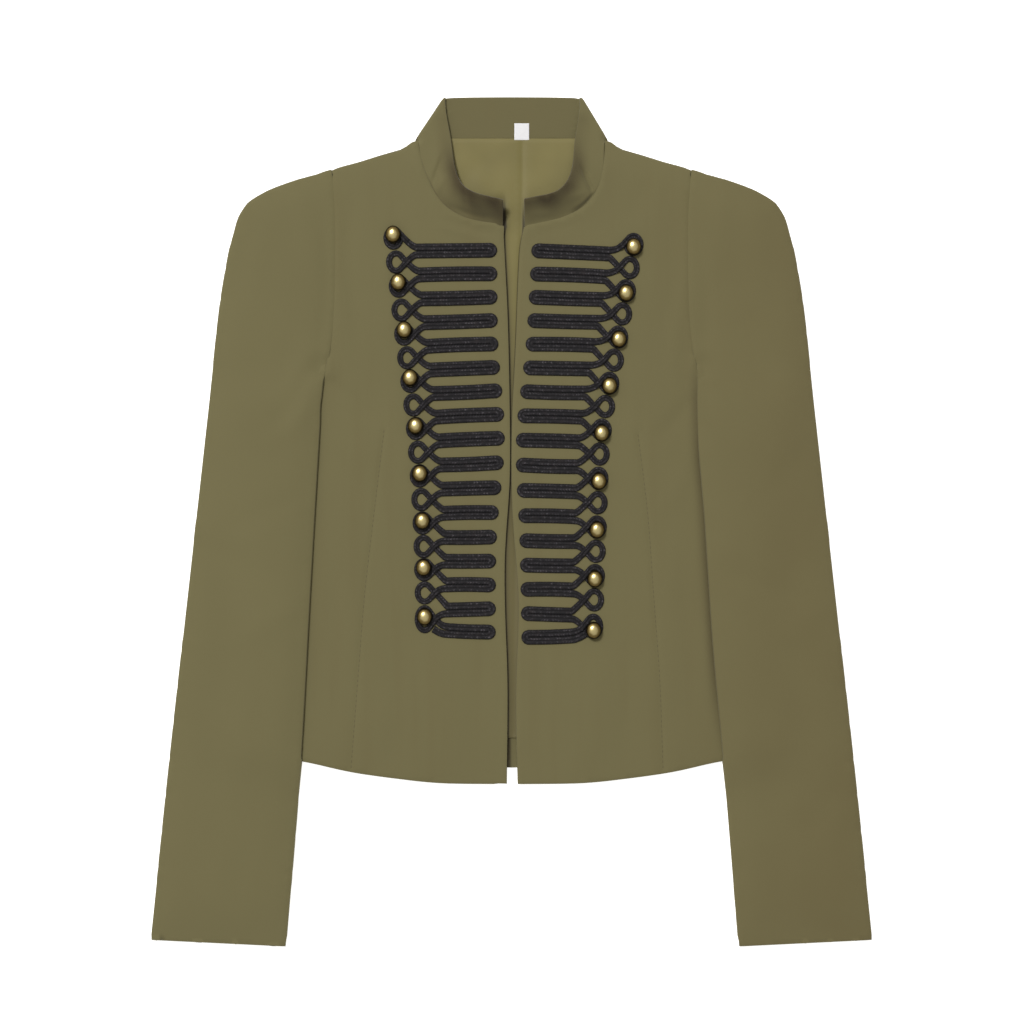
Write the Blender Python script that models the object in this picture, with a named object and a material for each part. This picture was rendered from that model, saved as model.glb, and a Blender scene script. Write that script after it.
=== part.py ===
"""Short suit jacket with a stand collar and braided fronts, laid flat on its back with the front up.

X runs across the jacket to the wearer's left, Y runs up it to the collar, and Z rises off the surface.
Right and left are the wearer's. The tables and sizes are in millimetres, and MM turns them into metres
where a mesh is made. A place on one half of the jacket is given by two columns: out, its distance from
the centre line, and up, its height along the jacket.
"""

import math
from dataclasses import dataclass
from typing import NamedTuple

import bmesh
import bpy
from mathutils import Vector
from mathutils.geometry import delaunay_2d_cdt

MM = 0.001

# Walls, and the gap left where two pieces meet
CLOTH = 1.5
LINING = 1.0
COLLAR = 2.0
LABEL = 0.6
GAP = 0.3
SEAM_GAP = 0.35

# How the layers lie on each other
SECOND_LAYER = CLOTH + GAP
THIRD_LAYER = 2 * SECOND_LAYER
FRONT_RISE = 1.6
NECK_RISE = 1.4
NECK_ROLL = 10.0
SHOULDER_ROLL = 10.0
HEM_ROLL = 40.0
SLEEVE_HOLLOW = 3.2
SLEEVE_ROLL = 9.0
SEAM_HOLLOW = 0.5
SEAM_ROLL = 16.0
CUFF_HOLLOW = 0.5
CUFF_ROLL = 45.0

# Where the braid and the buttons stand
BRAID_FLOOR = SECOND_LAYER + FRONT_RISE + CLOTH + GAP

# Where the sleeve climbs from the surface onto the front, as distances outside the body's edge
CLIMB_TOP = 2.0
CLIMB_FOOT = 16.0

# Where the front falls away under the sleeve, as distances outside the sleeve's edge
DIP_FOOT = 1.5
DIP_TOP = 28.0
HEM_GUIDE_OUTS = range(10, 150, 20)

# Braid: a flat cord, narrower where it is bent into a ring
BAR_CORD = 5.7
RING_CORD = 4.3
CORD_THICK = 1.6
CORD_CHAMFER = 0.4
MITRE_LIMIT = 0.5
PAIR_GAP = 0.3
RING_HALF_WIDTH = 5.6
RING_HALF_HEIGHT = 6.95
RING_TANGENT = 43.0
FIRST_RING_START = 12.0
RING_STEPS = 9
CROSSING_OUT = 8.4
FORK_OUT = 15.5
FORK_STEPS = (0.36, 0.66, 1.0)
HUMP_REACH = 2.6
BARS = 17
BARS_PER_ROW = 4
TURN_STEPS = 4

# Dome button on its shank, a little longer up the jacket than across it
SHANK_RADIUS = 1.2
DOME_RADIUS = 6.1
DOME_STRETCH = 1.13
DOME_FOOT = 3.8
DOME_HEIGHT = 8.6
RIM_DEPTH = 0.9
RIM_BEVEL = 0.6
DOME_STEPS = 3
BUTTON_STEPS = 12

# How far apart the points of each piece's outline and sheet are
SHAPE_STEP = 12.0
FRONT_STEP = 16.0
SLEEVE_STEP = 18.0
BACK_STEP = 24.0
LINING_STEP = 40.0
LONG_STEP = 1.6
LONGER_STEP = 2.0
PANEL_GRID = 34.0
BACK_GRID = 60.0
LABEL_GRID = 20.0
FRONT_RIMS = (3.5,)
SLEEVE_RIMS = (2.5, 9.0)
RIM_CLEAR = 0.8
GUIDE_CLEAR = 1.0
RIM_TO_GUIDE = 1.5
SAME_POINT = 0.05

# Edges sharper than these angles stay sharp, in degrees
CLOTH_SHARP = 30
CORD_SHARP = 35
COLLAR_SHARP = 40
BUTTON_SHARP = 50


class Spot(NamedTuple):
    """A place on one half of the jacket."""

    out: float
    up: float


class CollarRow(NamedTuple):
    """One ruling of the collar band, from its seam to its free edge, with heights off the surface."""

    base_out: float
    base_up: float
    base_high: float
    free_out: float
    free_up: float
    free_high: float


class BraidRow(NamedTuple):
    """The braid at every fourth ring and the bar below it.

    The ring has its centre, the bar has its end at the front edge and how far its other end lies below the
    middle between two rings, and the dome has its height above the ring's centre.
    """

    ring_out: float
    ring_up: float
    bar_out: float
    bar_up: float
    fork_drop: float
    dome_rise: float


SHOULDER = (
    Spot(76.4, 304.8),
    Spot(89.2, 298.0),
    Spot(106.0, 293.2),
    Spot(121.2, 288.4),
    Spot(138.8, 283.6),
    Spot(144.4, 281.2),
)
ARMHOLE = (
    Spot(144.4, 281.2),
    Spot(142.6, 266.0),
    Spot(141.4, 244.4),
    Spot(141.2, 206.0),
    Spot(142.8, 159.6),
    Spot(148.4, 121.2),
)
SCYE = (Spot(148.4, 121.2), Spot(160.0, 108.0), Spot(182.0, 99.5), Spot(217.0, 97.0))
SIDE_SEAM = (Spot(217.0, 97.0), Spot(205.0, -60.0), Spot(213.0, -187.0))
FRONT_HEM = (
    Spot(213.0, -187.0),
    Spot(169.2, -191.6),
    Spot(128.4, -200.4),
    Spot(89.2, -206.0),
    Spot(57.2, -209.2),
)
BACK_HEM = (Spot(213.0, -187.0), Spot(110.0, -194.0), Spot(0.0, -197.2))
SLEEVE_OUTER = (
    Spot(144.8, 281.0),
    Spot(170.8, 274.0),
    Spot(196.4, 264.4),
    Spot(211.6, 254.8),
    Spot(218.6, 244.0),
    Spot(223.6, 226.0),
    Spot(232.4, 177.2),
    Spot(241.2, 97.2),
    Spot(257.2, -46.8),
    Spot(273.2, -190.8),
    Spot(288.2, -334.8),
)
LINING_EDGE = (
    Spot(57.0, 304.6),
    Spot(56.0, 262.0),
    Spot(44.0, 249.0),
    Spot(30.0, 236.0),
    Spot(24.0, 200.0),
    Spot(22.0, -173.2),
)

# The collar's fold, where the band turns from the front of the neck to the back
FOLD_BASE = Spot(74.0, 306.4)
FOLD_RADIUS = 1.8
FOLD_STEPS = 4
BACK_BASE_UP = 305.5
BACK_BASE_OUT = 70.0
BACK_FREE_UP = 340.0
BACK_FREE_OUT = 49.2
BACK_STEPS = 6
BAND_STEPS = 4
BAND_BULGE = 1.2
BAND_LIFT = 0.6

LABEL_WIDTH = 11.6
LABEL_OUT = 8.2
LABEL_BOTTOM = 305.6
LABEL_TOP = 318.8


@dataclass(frozen=True)
class Half:
    """One half of the jacket, with the seams that differ between the two."""

    name: str
    sign: int
    front_edge: tuple
    neck: tuple
    inner_fold: tuple
    collar: tuple
    fold_free: Spot
    braid: tuple
    last_ring: Spot
    last_ring_half_height: float
    last_fork: Spot
    tail: tuple
    later_cord_over: bool

    def place(self, spot):
        """A place on this half as X and Y."""
        return (self.sign * spot.out, spot.up)

    def line(self, spots, spacing):
        """A smooth line through places on this half."""
        return smooth([self.place(spot) for spot in spots], spacing)


RIGHT = Half(
    name="right",
    sign=-1,
    front_edge=(
        Spot(6.4, 236.2),
        Spot(5.2, 212.4),
        Spot(2.8, 162.8),
        Spot(1.2, 89.2),
        Spot(1.2, 35.6),
        Spot(5.0, -26.8),
        Spot(5.0, -67.6),
        Spot(3.0, -130.0),
        Spot(3.6, -210.0),
    ),
    neck=(
        Spot(76.4, 304.8),
        Spot(74.0, 288.4),
        Spot(64.4, 264.4),
        Spot(54.0, 250.8),
        Spot(39.6, 242.0),
        Spot(24.4, 238.0),
        Spot(6.4, 236.2),
    ),
    inner_fold=(
        Spot(148.8, 120.8),
        Spot(151.6, 113.0),
        Spot(154.0, 75.6),
        Spot(162.0, -62.8),
        Spot(169.2, -191.6),
        Spot(181.2, -340.0),
    ),
    collar=(
        CollarRow(6.8, 236.8, 5.6, 6.8, 256.0, 18.6),
        CollarRow(24.2, 239.2, 5.6, 18.0, 258.4, 19.0),
        CollarRow(39.0, 243.2, 5.6, 30.0, 261.2, 18.6),
        CollarRow(53.0, 251.8, 5.6, 41.0, 268.4, 16.4),
        CollarRow(63.2, 265.2, 5.4, 45.6, 283.0, 12.6),
        CollarRow(70.2, 280.0, 5.0, 47.6, 300.0, 8.6),
        CollarRow(73.2, 294.0, 4.8, 50.0, 320.0, 5.6),
    ),
    fold_free=Spot(51.8, 339.3),
    braid=(
        BraidRow(ring_out=94.5, ring_up=226.8, bar_out=12.0, bar_up=217.0, fork_drop=0.8, dome_rise=2.7),
        BraidRow(ring_out=85.9, ring_up=150.0, bar_out=11.0, bar_up=142.2, fork_drop=0.4, dome_rise=3.2),
        BraidRow(ring_out=76.5, ring_up=74.4, bar_out=5.8, bar_up=66.8, fork_drop=0.4, dome_rise=1.9),
        BraidRow(ring_out=71.2, ring_up=-1.2, bar_out=12.2, bar_up=-12.4, fork_drop=2.1, dome_rise=1.9),
        BraidRow(ring_out=69.0, ring_up=-75.6, bar_out=13.2, bar_up=-88.6, fork_drop=3.6, dome_rise=2.2),
    ),
    last_ring=Spot(69.5, -78.1),
    last_ring_half_height=8.9,
    last_fork=Spot(54.0, -87.0),
    tail=(Spot(57.4, -88.9), Spot(61.8, -86.4)),
    later_cord_over=False,
)

LEFT = Half(
    name="left",
    sign=1,
    front_edge=(
        Spot(10.2, 235.0),
        Spot(7.6, 222.0),
        Spot(6.0, 200.0),
        Spot(3.6, 138.8),
        Spot(0.8, 81.2),
        Spot(0.3, 41.2),
        Spot(1.4, 2.8),
        Spot(6.0, -62.8),
        Spot(4.0, -140.0),
        Spot(5.2, -210.0),
    ),
    neck=(
        Spot(76.4, 304.8),
        Spot(75.0, 282.0),
        Spot(70.0, 264.4),
        Spot(61.2, 252.4),
        Spot(46.8, 243.6),
        Spot(27.6, 238.0),
        Spot(10.2, 235.0),
    ),
    inner_fold=(
        Spot(148.8, 120.8),
        Spot(149.0, 97.0),
        Spot(150.0, 63.6),
        Spot(154.8, 6.0),
        Spot(162.0, -101.2),
        Spot(170.4, -192.0),
        Spot(182.6, -340.0),
    ),
    collar=(
        CollarRow(10.6, 235.8, 5.6, 10.0, 256.6, 18.6),
        CollarRow(27.2, 239.2, 5.6, 22.0, 258.8, 19.0),
        CollarRow(46.0, 244.8, 5.6, 35.0, 261.2, 18.6),
        CollarRow(60.0, 253.6, 5.6, 45.0, 270.0, 16.4),
        CollarRow(68.8, 265.4, 5.4, 49.4, 284.0, 12.6),
        CollarRow(73.0, 280.6, 5.0, 50.2, 300.0, 8.6),
        CollarRow(74.0, 294.0, 4.8, 52.0, 320.0, 5.6),
    ),
    fold_free=Spot(54.2, 339.3),
    braid=(
        BraidRow(ring_out=97.6, ring_up=221.6, bar_out=16.4, bar_up=216.8, fork_drop=-1.6, dome_rise=-2.0),
        BraidRow(ring_out=85.4, ring_up=147.6, bar_out=11.8, bar_up=142.0, fork_drop=-2.5, dome_rise=-1.9),
        BraidRow(ring_out=72.2, ring_up=73.2, bar_out=4.0, bar_up=65.2, fork_drop=-0.2, dome_rise=-2.8),
        BraidRow(ring_out=68.2, ring_up=-4.4, bar_out=6.8, bar_up=-15.2, fork_drop=1.9, dome_rise=-2.1),
        BraidRow(ring_out=65.4, ring_up=-82.0, bar_out=8.4, bar_up=-92.8, fork_drop=1.4, dome_rise=-2.9),
    ),
    last_ring=Spot(65.4, -83.9),
    last_ring_half_height=7.9,
    last_fork=Spot(50.0, -91.4),
    tail=(Spot(54.8, -92.4), Spot(57.6, -90.6)),
    later_cord_over=True,
)

HALVES = (RIGHT, LEFT)


# Plain geometry


def smooth(points, spacing):
    """A smooth line through the points, its own points about spacing apart."""
    along = [0.0]
    for start, end in zip(points, points[1:]):
        along.append(along[-1] + math.dist(start, end))
    slopes = []
    for i in range(len(points)):
        before = max(i - 1, 0)
        after = min(i + 1, len(points) - 1)
        reach = along[after] - along[before]
        slopes.append(tuple((b - a) / reach for a, b in zip(points[before], points[after])))
    line = []
    for i, (start, end) in enumerate(zip(points, points[1:])):
        length = along[i + 1] - along[i]
        steps = max(1, round(length / spacing))
        for step in range(steps):
            t = step / steps
            line.append(
                tuple(
                    (1 + 2 * t) * (1 - t) ** 2 * a
                    + t * (1 - t) ** 2 * length * slope_a
                    + t * t * (3 - 2 * t) * b
                    - t * t * (1 - t) * length * slope_b
                    for a, b, slope_a, slope_b in zip(start, end, slopes[i], slopes[i + 1])
                )
            )
    line.append(tuple(points[-1]))
    return line


def fade(low, high, value):
    """0 below low and 1 above high, with a soft change between."""
    t = min(max((value - low) / (high - low), 0.0), 1.0)
    return t * t * (3 - 2 * t)


def rolled(distance, roll):
    """Height of a rounded edge, from 0 at the edge to 1 at roll inside it."""
    t = 1 - min(max(distance / roll, 0.0), 1.0)
    return math.sqrt(1 - t * t)


def distance_to(line, x, y):
    """Distance from a place to a line of points."""
    nearest = math.inf
    for (ax, ay), (bx, by) in zip(line, line[1:]):
        dx = bx - ax
        dy = by - ay
        t = min(max(((x - ax) * dx + (y - ay) * dy) / (dx * dx + dy * dy), 0.0), 1.0)
        nearest = min(nearest, math.hypot(x - ax - t * dx, y - ay - t * dy))
    return nearest


def inside(outline, x, y):
    """Whether a place is inside a closed outline."""
    odd = False
    for (ax, ay), (bx, by) in zip(outline, outline[1:] + outline[:1]):
        if (ay > y) != (by > y) and x < ax + (y - ay) / (by - ay) * (bx - ax):
            odd = not odd
    return odd


def distance_outside(outline, x, y):
    """Distance from a place to an outline, and 0 inside it."""
    if inside(outline, x, y):
        return 0.0
    return distance_to(outline + outline[:1], x, y)


def shifted(line, distance):
    """The line moved sideways, to the left of its own direction where distance is above 0."""
    moved = []
    for i, (x, y) in enumerate(line):
        ax, ay = line[max(i - 1, 0)]
        bx, by = line[min(i + 1, len(line) - 1)]
        length = math.hypot(bx - ax, by - ay)
        moved.append((x - (by - ay) / length * distance, y + (bx - ax) / length * distance))
    return moved


def joined(*lines):
    """Lines put end to end, with the points that they share kept once."""
    outline = []
    for line in lines:
        for point in line:
            if not outline or math.dist(point, outline[-1]) > SAME_POINT:
                outline.append(point)
    if math.dist(outline[0], outline[-1]) < SAME_POINT:
        outline.pop()
    return outline


def value_at(rows, column, row):
    """A column of a table at any row number, read from a smooth line through its rows."""
    values = [getattr(entry, column) for entry in rows]
    i = min(int(row), len(values) - 2)
    t = row - i
    before = values[max(i - 1, 0)]
    start = values[i]
    end = values[i + 1]
    after = values[min(i + 2, len(values) - 1)]
    slope_a = (end - before) / (2 if i > 0 else 1)
    slope_b = (after - start) / (2 if i + 2 < len(values) else 1)
    return (
        (1 + 2 * t) * (1 - t) ** 2 * start
        + t * (1 - t) ** 2 * slope_a
        + t * t * (3 - 2 * t) * end
        - t * t * (1 - t) * slope_b
    )


# Materials and objects


def material(name, colour, roughness, metallic=0.0):
    """A plain Principled material."""
    made = bpy.data.materials.new(name)
    made.use_nodes = True
    shader = made.node_tree.nodes["Principled BSDF"]
    shader.inputs["Base Color"].default_value = (*colour, 1.0)
    shader.inputs["Roughness"].default_value = roughness
    shader.inputs["Metallic"].default_value = metallic
    made.diffuse_color = (*colour, 1.0)
    return made


def add_object(name, bm, finish, smooth_angle=None):
    """Turns a mesh in millimetres into an object in metres with its own material."""
    bmesh.ops.recalc_face_normals(bm, faces=bm.faces[:])
    bmesh.ops.scale(bm, vec=(MM, MM, MM), verts=bm.verts[:])
    mesh = bpy.data.meshes.new(name)
    bm.to_mesh(mesh)
    bm.free()
    mesh.materials.append(finish)
    if smooth_angle is not None:
        mesh.shade_smooth()
        mesh.set_sharp_from_angle(angle=math.radians(smooth_angle))
    made = bpy.data.objects.new(name, mesh)
    bpy.context.collection.objects.link(made)
    return made


def inner_points(outline, guides, spacing):
    """Places inside an outline on a staggered grid, clear of the outline and of the guide lines."""
    xs = [x for x, _ in outline]
    ys = [y for _, y in outline]
    row_height = spacing * math.sqrt(3) / 2
    rows = int((max(ys) - min(ys)) / row_height)
    columns = int((max(xs) - min(xs)) / spacing) + 1
    fences = [outline + outline[:1]] + guides
    found = []
    for row in range(rows + 1):
        for column in range(columns + 1):
            x = min(xs) + (column + row % 2 / 2) * spacing
            y = min(ys) + row * row_height
            if inside(outline, x, y) and all(distance_to(fence, x, y) > spacing / 2 for fence in fences):
                found.append((x, y))
    return found


def guides_inside(outline, guides):
    """The stretches of the guide lines that run inside the outline, clear of its edge."""
    kept = []
    for guide in guides:
        run = []
        for point in guide:
            if inside(outline, *point):
                run.append(point)
            elif run:
                break
        if len(run) > 1:
            kept.append([point for point in run if distance_to(outline + outline[:1], *point) > GUIDE_CLEAR])
    return [guide for guide in kept if len(guide) > 1]


def panel(name, outline, low, thickness, finish, spacing, rims=(), guides=()):
    """A cloth piece: a sheet over its outline, with its underside at low and its wall straight up.

    Rims are distances inside the edge where a row of points follows the edge, and guides are lines that
    the sheet's triangles follow.
    """
    ring = outline + outline[:1]
    rim_points = []
    for rim in rims:
        for x, y in shifted(ring, rim)[:-1] + shifted(ring, -rim)[:-1]:
            if inside(outline, x, y) and distance_to(ring, x, y) > RIM_CLEAR * rim:
                rim_points.append((x, y))
    guides = guides_inside(outline, guides)
    grid = inner_points(outline, guides, spacing)
    rim_reach = max(rims, default=0.0) + spacing / 3
    grid = [spot for spot in grid if distance_to(ring, *spot) > rim_reach]
    rim_points = [
        spot for spot in rim_points if all(distance_to(guide, *spot) > RIM_TO_GUIDE for guide in guides)
    ]

    points = list(outline)
    edges = [(i, (i + 1) % len(outline)) for i in range(len(outline))]
    for guide in guides:
        first = len(points)
        points += guide
        edges += [(first + i, first + i + 1) for i in range(len(guide) - 1)]
    points += rim_points + grid
    coords, _, faces, *_ = delaunay_2d_cdt([Vector(point) for point in points], edges, [], 0, 1e-4)

    bm = bmesh.new()
    verts = [bm.verts.new((x, y, low(x, y))) for x, y in coords]
    for face in faces:
        x = sum(coords[i][0] for i in face) / 3
        y = sum(coords[i][1] for i in face) / 3
        if inside(outline, x, y):
            bm.faces.new([verts[i] for i in face])
    bmesh.ops.delete(bm, geom=[vert for vert in bm.verts if not vert.link_faces], context="VERTS")
    raised = bmesh.ops.extrude_face_region(bm, geom=bm.faces[:], use_keep_orig=True)
    upper = [item for item in raised["geom"] if isinstance(item, bmesh.types.BMVert)]
    bmesh.ops.translate(bm, vec=(0, 0, thickness), verts=upper)
    return add_object(name, bm, finish, CLOTH_SHARP)


# Outlines and heights of the cloth pieces


def body_edge(half, spacing):
    """The body's edge from the shoulder at the neck, round the armhole and down the side to the hem."""
    return joined(
        half.line(SHOULDER, spacing),
        half.line(ARMHOLE, spacing),
        half.line(SCYE, spacing),
        half.line(SIDE_SEAM, LONGER_STEP * spacing),
    )


def front_outline(half, spacing):
    """The front's outline."""
    hem = half.line(FRONT_HEM + (half.front_edge[-1],), spacing)
    return joined(
        body_edge(half, spacing),
        hem,
        half.line(half.front_edge, spacing)[::-1],
        half.line(half.neck, spacing)[::-1],
    )


def sleeve_outline(half, spacing):
    """The outline that the top and the under sleeve share, just outside the armhole seam."""
    seam = shifted(half.line(ARMHOLE, spacing), half.sign * SEAM_GAP)
    return joined(
        seam,
        half.line(half.inner_fold, LONG_STEP * spacing),
        half.line(SLEEVE_OUTER, LONG_STEP * spacing)[::-1],
    )


def covered_body(half, spacing):
    """The part of the body that the sleeve lies on."""
    return joined(
        half.line(SCYE, spacing),
        half.line(SIDE_SEAM, LONGER_STEP * spacing),
        half.line(FRONT_HEM[:3], spacing),
    )


class Heights:
    """Heights of one half's cloth, worked out from distances to its edges."""

    def __init__(self, half):
        spacing = SHAPE_STEP
        self.sleeve = sleeve_outline(half, spacing)
        self.covered = covered_body(half, spacing)
        self.seam = half.line(ARMHOLE, spacing)
        self.shoulder = half.line(SHOULDER, spacing)
        self.neck = half.line(half.neck, spacing)
        self.closed_edge = half.line(SLEEVE_OUTER, spacing)
        self.fold = half.line(half.inner_fold, spacing)
        self.cuff = [half.place(half.inner_fold[-1]), half.place(SLEEVE_OUTER[-1])]

    def front(self, x, y):
        """Underside of the front: low at the hem, the shoulder edge and under the sleeve."""
        beside_sleeve = fade(DIP_FOOT, DIP_TOP, distance_outside(self.sleeve, x, y))
        above_scye = fade(ARMHOLE[-1].up, ARMHOLE[-1].up + DIP_TOP, y)
        rise = FRONT_RISE * max(beside_sleeve, above_scye)
        rise *= fade(FRONT_HEM[-1].up, FRONT_HEM[-1].up + HEM_ROLL, y)
        rise += NECK_RISE * (1 - fade(0, NECK_ROLL, distance_to(self.neck, x, y)))
        return SECOND_LAYER + rise * rolled(distance_to(self.shoulder, x, y), SHOULDER_ROLL)

    def under_sleeve(self, x, y):
        """Underside of the under sleeve: on the surface, and up on the front where it covers it."""
        return THIRD_LAYER * (1 - fade(CLIMB_TOP, CLIMB_FOOT, distance_outside(self.covered, x, y)))

    def top_sleeve(self, x, y):
        """Underside of the top sleeve, which bows up off the under sleeve between its two folds."""
        edge = min(distance_to(self.closed_edge, x, y), distance_to(self.fold, x, y))
        bow = rolled(edge, SLEEVE_ROLL)
        bow *= SEAM_HOLLOW + (1 - SEAM_HOLLOW) * fade(0, SEAM_ROLL, distance_to(self.seam, x, y))
        bow *= CUFF_HOLLOW + (1 - CUFF_HOLLOW) * fade(0, CUFF_ROLL, distance_to(self.cuff, x, y))
        return self.under_sleeve(x, y) + SECOND_LAYER + SLEEVE_HOLLOW * bow


def make_back(cloth):
    """The back, flat on the surface, under both fronts."""
    edges = [body_edge(half, BACK_STEP) for half in HALVES]
    hems = [half.line(BACK_HEM, LONGER_STEP * BACK_STEP) for half in HALVES]
    outline = joined(edges[0], hems[0], hems[1][::-1], edges[1][::-1])
    return panel("back", outline, lambda x, y: 0.0, CLOTH, cloth, BACK_GRID)


def make_lining(lining):
    """The back lining, as far as it shows in the neck and in the front gap."""
    edges = [half.line(LINING_EDGE, LINING_STEP) for half in HALVES]
    outline = joined(edges[0], edges[1][::-1])
    return panel("back_lining", outline, lambda x, y: SECOND_LAYER, LINING, lining, LINING_STEP)


def make_front(half, cloth):
    """One front, with its neckline, shoulder, armhole, side, hem and front edge."""
    heights = Heights(half)
    fold = half.line(half.inner_fold, LONG_STEP * FRONT_STEP)
    guides = [shifted(fold, -half.sign * away) for away in (DIP_FOOT, DIP_TOP / 2, DIP_TOP)]
    above_hem = FRONT_HEM[-1].up + HEM_ROLL / 2
    guides.append([half.place(Spot(out, above_hem)) for out in HEM_GUIDE_OUTS])
    guides.append(shifted(half.line(half.neck, FRONT_STEP), half.sign * NECK_ROLL))
    return panel(
        f"front_{half.name}",
        front_outline(half, FRONT_STEP),
        heights.front,
        CLOTH,
        cloth,
        PANEL_GRID,
        FRONT_RIMS,
        guides,
    )


def make_sleeve(half, cloth):
    """The under sleeve and the top sleeve, which lie on the same plan."""
    heights = Heights(half)
    outline = sleeve_outline(half, SLEEVE_STEP)
    body = covered_body(half, SHAPE_STEP)
    middle = (CLIMB_TOP + CLIMB_FOOT) / 2
    guides = [shifted(body, half.sign * away) for away in (CLIMB_TOP, middle, CLIMB_FOOT)]
    for name, low in (("under_sleeve", heights.under_sleeve), ("top_sleeve", heights.top_sleeve)):
        panel(f"{name}_{half.name}", outline, low, CLOTH, cloth, PANEL_GRID, SLEEVE_RIMS, guides)


def collar_rulings():
    """The collar band's rulings, each a pair of points, from the right front end to the left front end."""
    rulings = []
    for half in HALVES:
        front = []
        for row in half.collar:
            base = Vector((half.sign * row.base_out, row.base_up, row.base_high))
            free = Vector((half.sign * row.free_out, row.free_up, row.free_high))
            front.append((base, free))
        low = COLLAR / 2
        fold_base = Vector((*half.place(FOLD_BASE), low + FOLD_RADIUS))
        fold_free = Vector((*half.place(half.fold_free), low + FOLD_RADIUS))
        away = Vector((half.sign, 0.0, 0.0))
        for step in range(FOLD_STEPS + 1):
            angle = math.pi * (0.5 - step / FOLD_STEPS)
            turn = away * math.cos(angle) * FOLD_RADIUS + Vector((0, 0, math.sin(angle) * FOLD_RADIUS))
            front.append((fold_base + turn, fold_free + turn))
        rulings.append(front)
    back = []
    low = COLLAR / 2
    for step in range(1, BACK_STEPS):
        side = 2 * step / BACK_STEPS - 1
        base = Vector((side * BACK_BASE_OUT, BACK_BASE_UP + COLLAR / 2, low))
        free = Vector((side * BACK_FREE_OUT, BACK_FREE_UP, low))
        back.append((base, free))
    return rulings[0] + back + rulings[1][::-1]


def make_collar(cloth):
    """The stand collar: one band round the neck, its front ends leaning in over the opening."""
    bm = bmesh.new()
    rows = []
    for base, free in collar_rulings():
        ruling = free - base
        outward = Vector((ruling.x, ruling.y, 0.0)).normalized() if ruling.z > 1.0 else Vector()
        row = []
        for step in range(BAND_STEPS + 1):
            t = step / BAND_STEPS
            swell = BAND_BULGE * 4 * t * (1 - t) * outward.length
            bulge = Vector((-outward.x, -outward.y, BAND_LIFT)) * swell
            row.append(bm.verts.new(base + ruling * t + bulge))
        rows.append(row)
    for row, after in zip(rows, rows[1:]):
        for i in range(BAND_STEPS):
            bm.faces.new((row[i], row[i + 1], after[i + 1], after[i]))
    collar = add_object("collar", bm, cloth, COLLAR_SHARP)
    wall = collar.modifiers.new("Wall", "SOLIDIFY")
    wall.thickness = COLLAR * MM
    wall.offset = 0.0
    wall.use_even_offset = True
    return collar


def make_label(finish):
    """The blank size label, sewn into the back neck seam and lying up over the collar."""
    left = LABEL_OUT - LABEL_WIDTH / 2
    right = LABEL_OUT + LABEL_WIDTH / 2
    outline = [(left, LABEL_BOTTOM), (right, LABEL_BOTTOM), (right, LABEL_TOP), (left, LABEL_TOP)]
    return panel("label", outline, lambda x, y: COLLAR + GAP, LABEL, finish, LABEL_GRID)


# Braid and buttons


def ring_centre(half, ring):
    """Centre of a ring, counted from 0 at the top."""
    if ring == BARS - 1:
        return half.last_ring
    row = ring / BARS_PER_ROW
    return Spot(value_at(half.braid, "ring_out", row), value_at(half.braid, "ring_up", row))


def bar_ends(half, bar):
    """The two ends of a bar's centre line, at its fork and at the front edge, counted from 0 at the top."""
    row = bar / BARS_PER_ROW
    edge = Spot(value_at(half.braid, "bar_out", row), value_at(half.braid, "bar_up", row))
    if bar == BARS - 1:
        return half.last_fork, edge
    upper = ring_centre(half, bar)
    lower = ring_centre(half, bar + 1)
    drop = value_at(half.braid, "fork_drop", row)
    fork = Spot((upper.out + lower.out) / 2 - FORK_OUT, (upper.up + lower.up) / 2 - drop)
    return fork, edge


def bend(start, corner, end, t):
    """A place on the curve that leaves start and reaches end along lines through corner."""
    return Spot(*(a * (1 - t) ** 2 + 2 * c * t * (1 - t) + b * t * t for a, c, b in zip(start, corner, end)))


def towards(start, end, distance):
    """The place at a distance from start, in the direction of end."""
    t = distance / math.dist(start, end)
    return Spot(start.out + (end.out - start.out) * t, start.up + (end.up - start.up) * t)


class CordPath:
    """The way of one unbroken flat cord over a front: places, half widths and lifts off the front."""

    def __init__(self):
        self.places = []
        self.half_widths = []
        self.lifts = []

    def add(self, place, width, lift=0.0):
        self.places.append(place)
        self.half_widths.append(width / 2)
        self.lifts.append(lift)


def fork_bend(half, bar, ring, above):
    """The cord's curve from a ring's crossing to one half of a bar: the crossing, the corner and the end."""
    centre = ring_centre(half, ring)
    crossing = Spot(centre.out - CROSSING_OUT, centre.up)
    fork, _ = bar_ends(half, bar)
    half_pair = (BAR_CORD + PAIR_GAP) / 2
    end = Spot(fork.out, fork.up - half_pair if above else fork.up + half_pair)
    steepness = math.tan(math.radians(90 - RING_TANGENT))
    corner = Spot(crossing.out - abs(end.up - crossing.up) / steepness, end.up)
    return crossing, corner, end


def add_fork(path, half, bar, ring, above, over, inward):
    """Adds the curve between a ring's crossing and a bar, without the crossing itself."""
    crossing, corner, end = fork_bend(half, bar, ring, above)
    widening = BAR_CORD - RING_CORD
    spots = [(bend(crossing, corner, end, t), RING_CORD + widening * t, 0.0) for t in FORK_STEPS]
    if over:
        spots.insert(0, (towards(crossing, corner, HUMP_REACH), RING_CORD, CORD_THICK + GAP))
    for place, width, lift in spots if inward else reversed(spots):
        path.add(place, width, lift)


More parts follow.
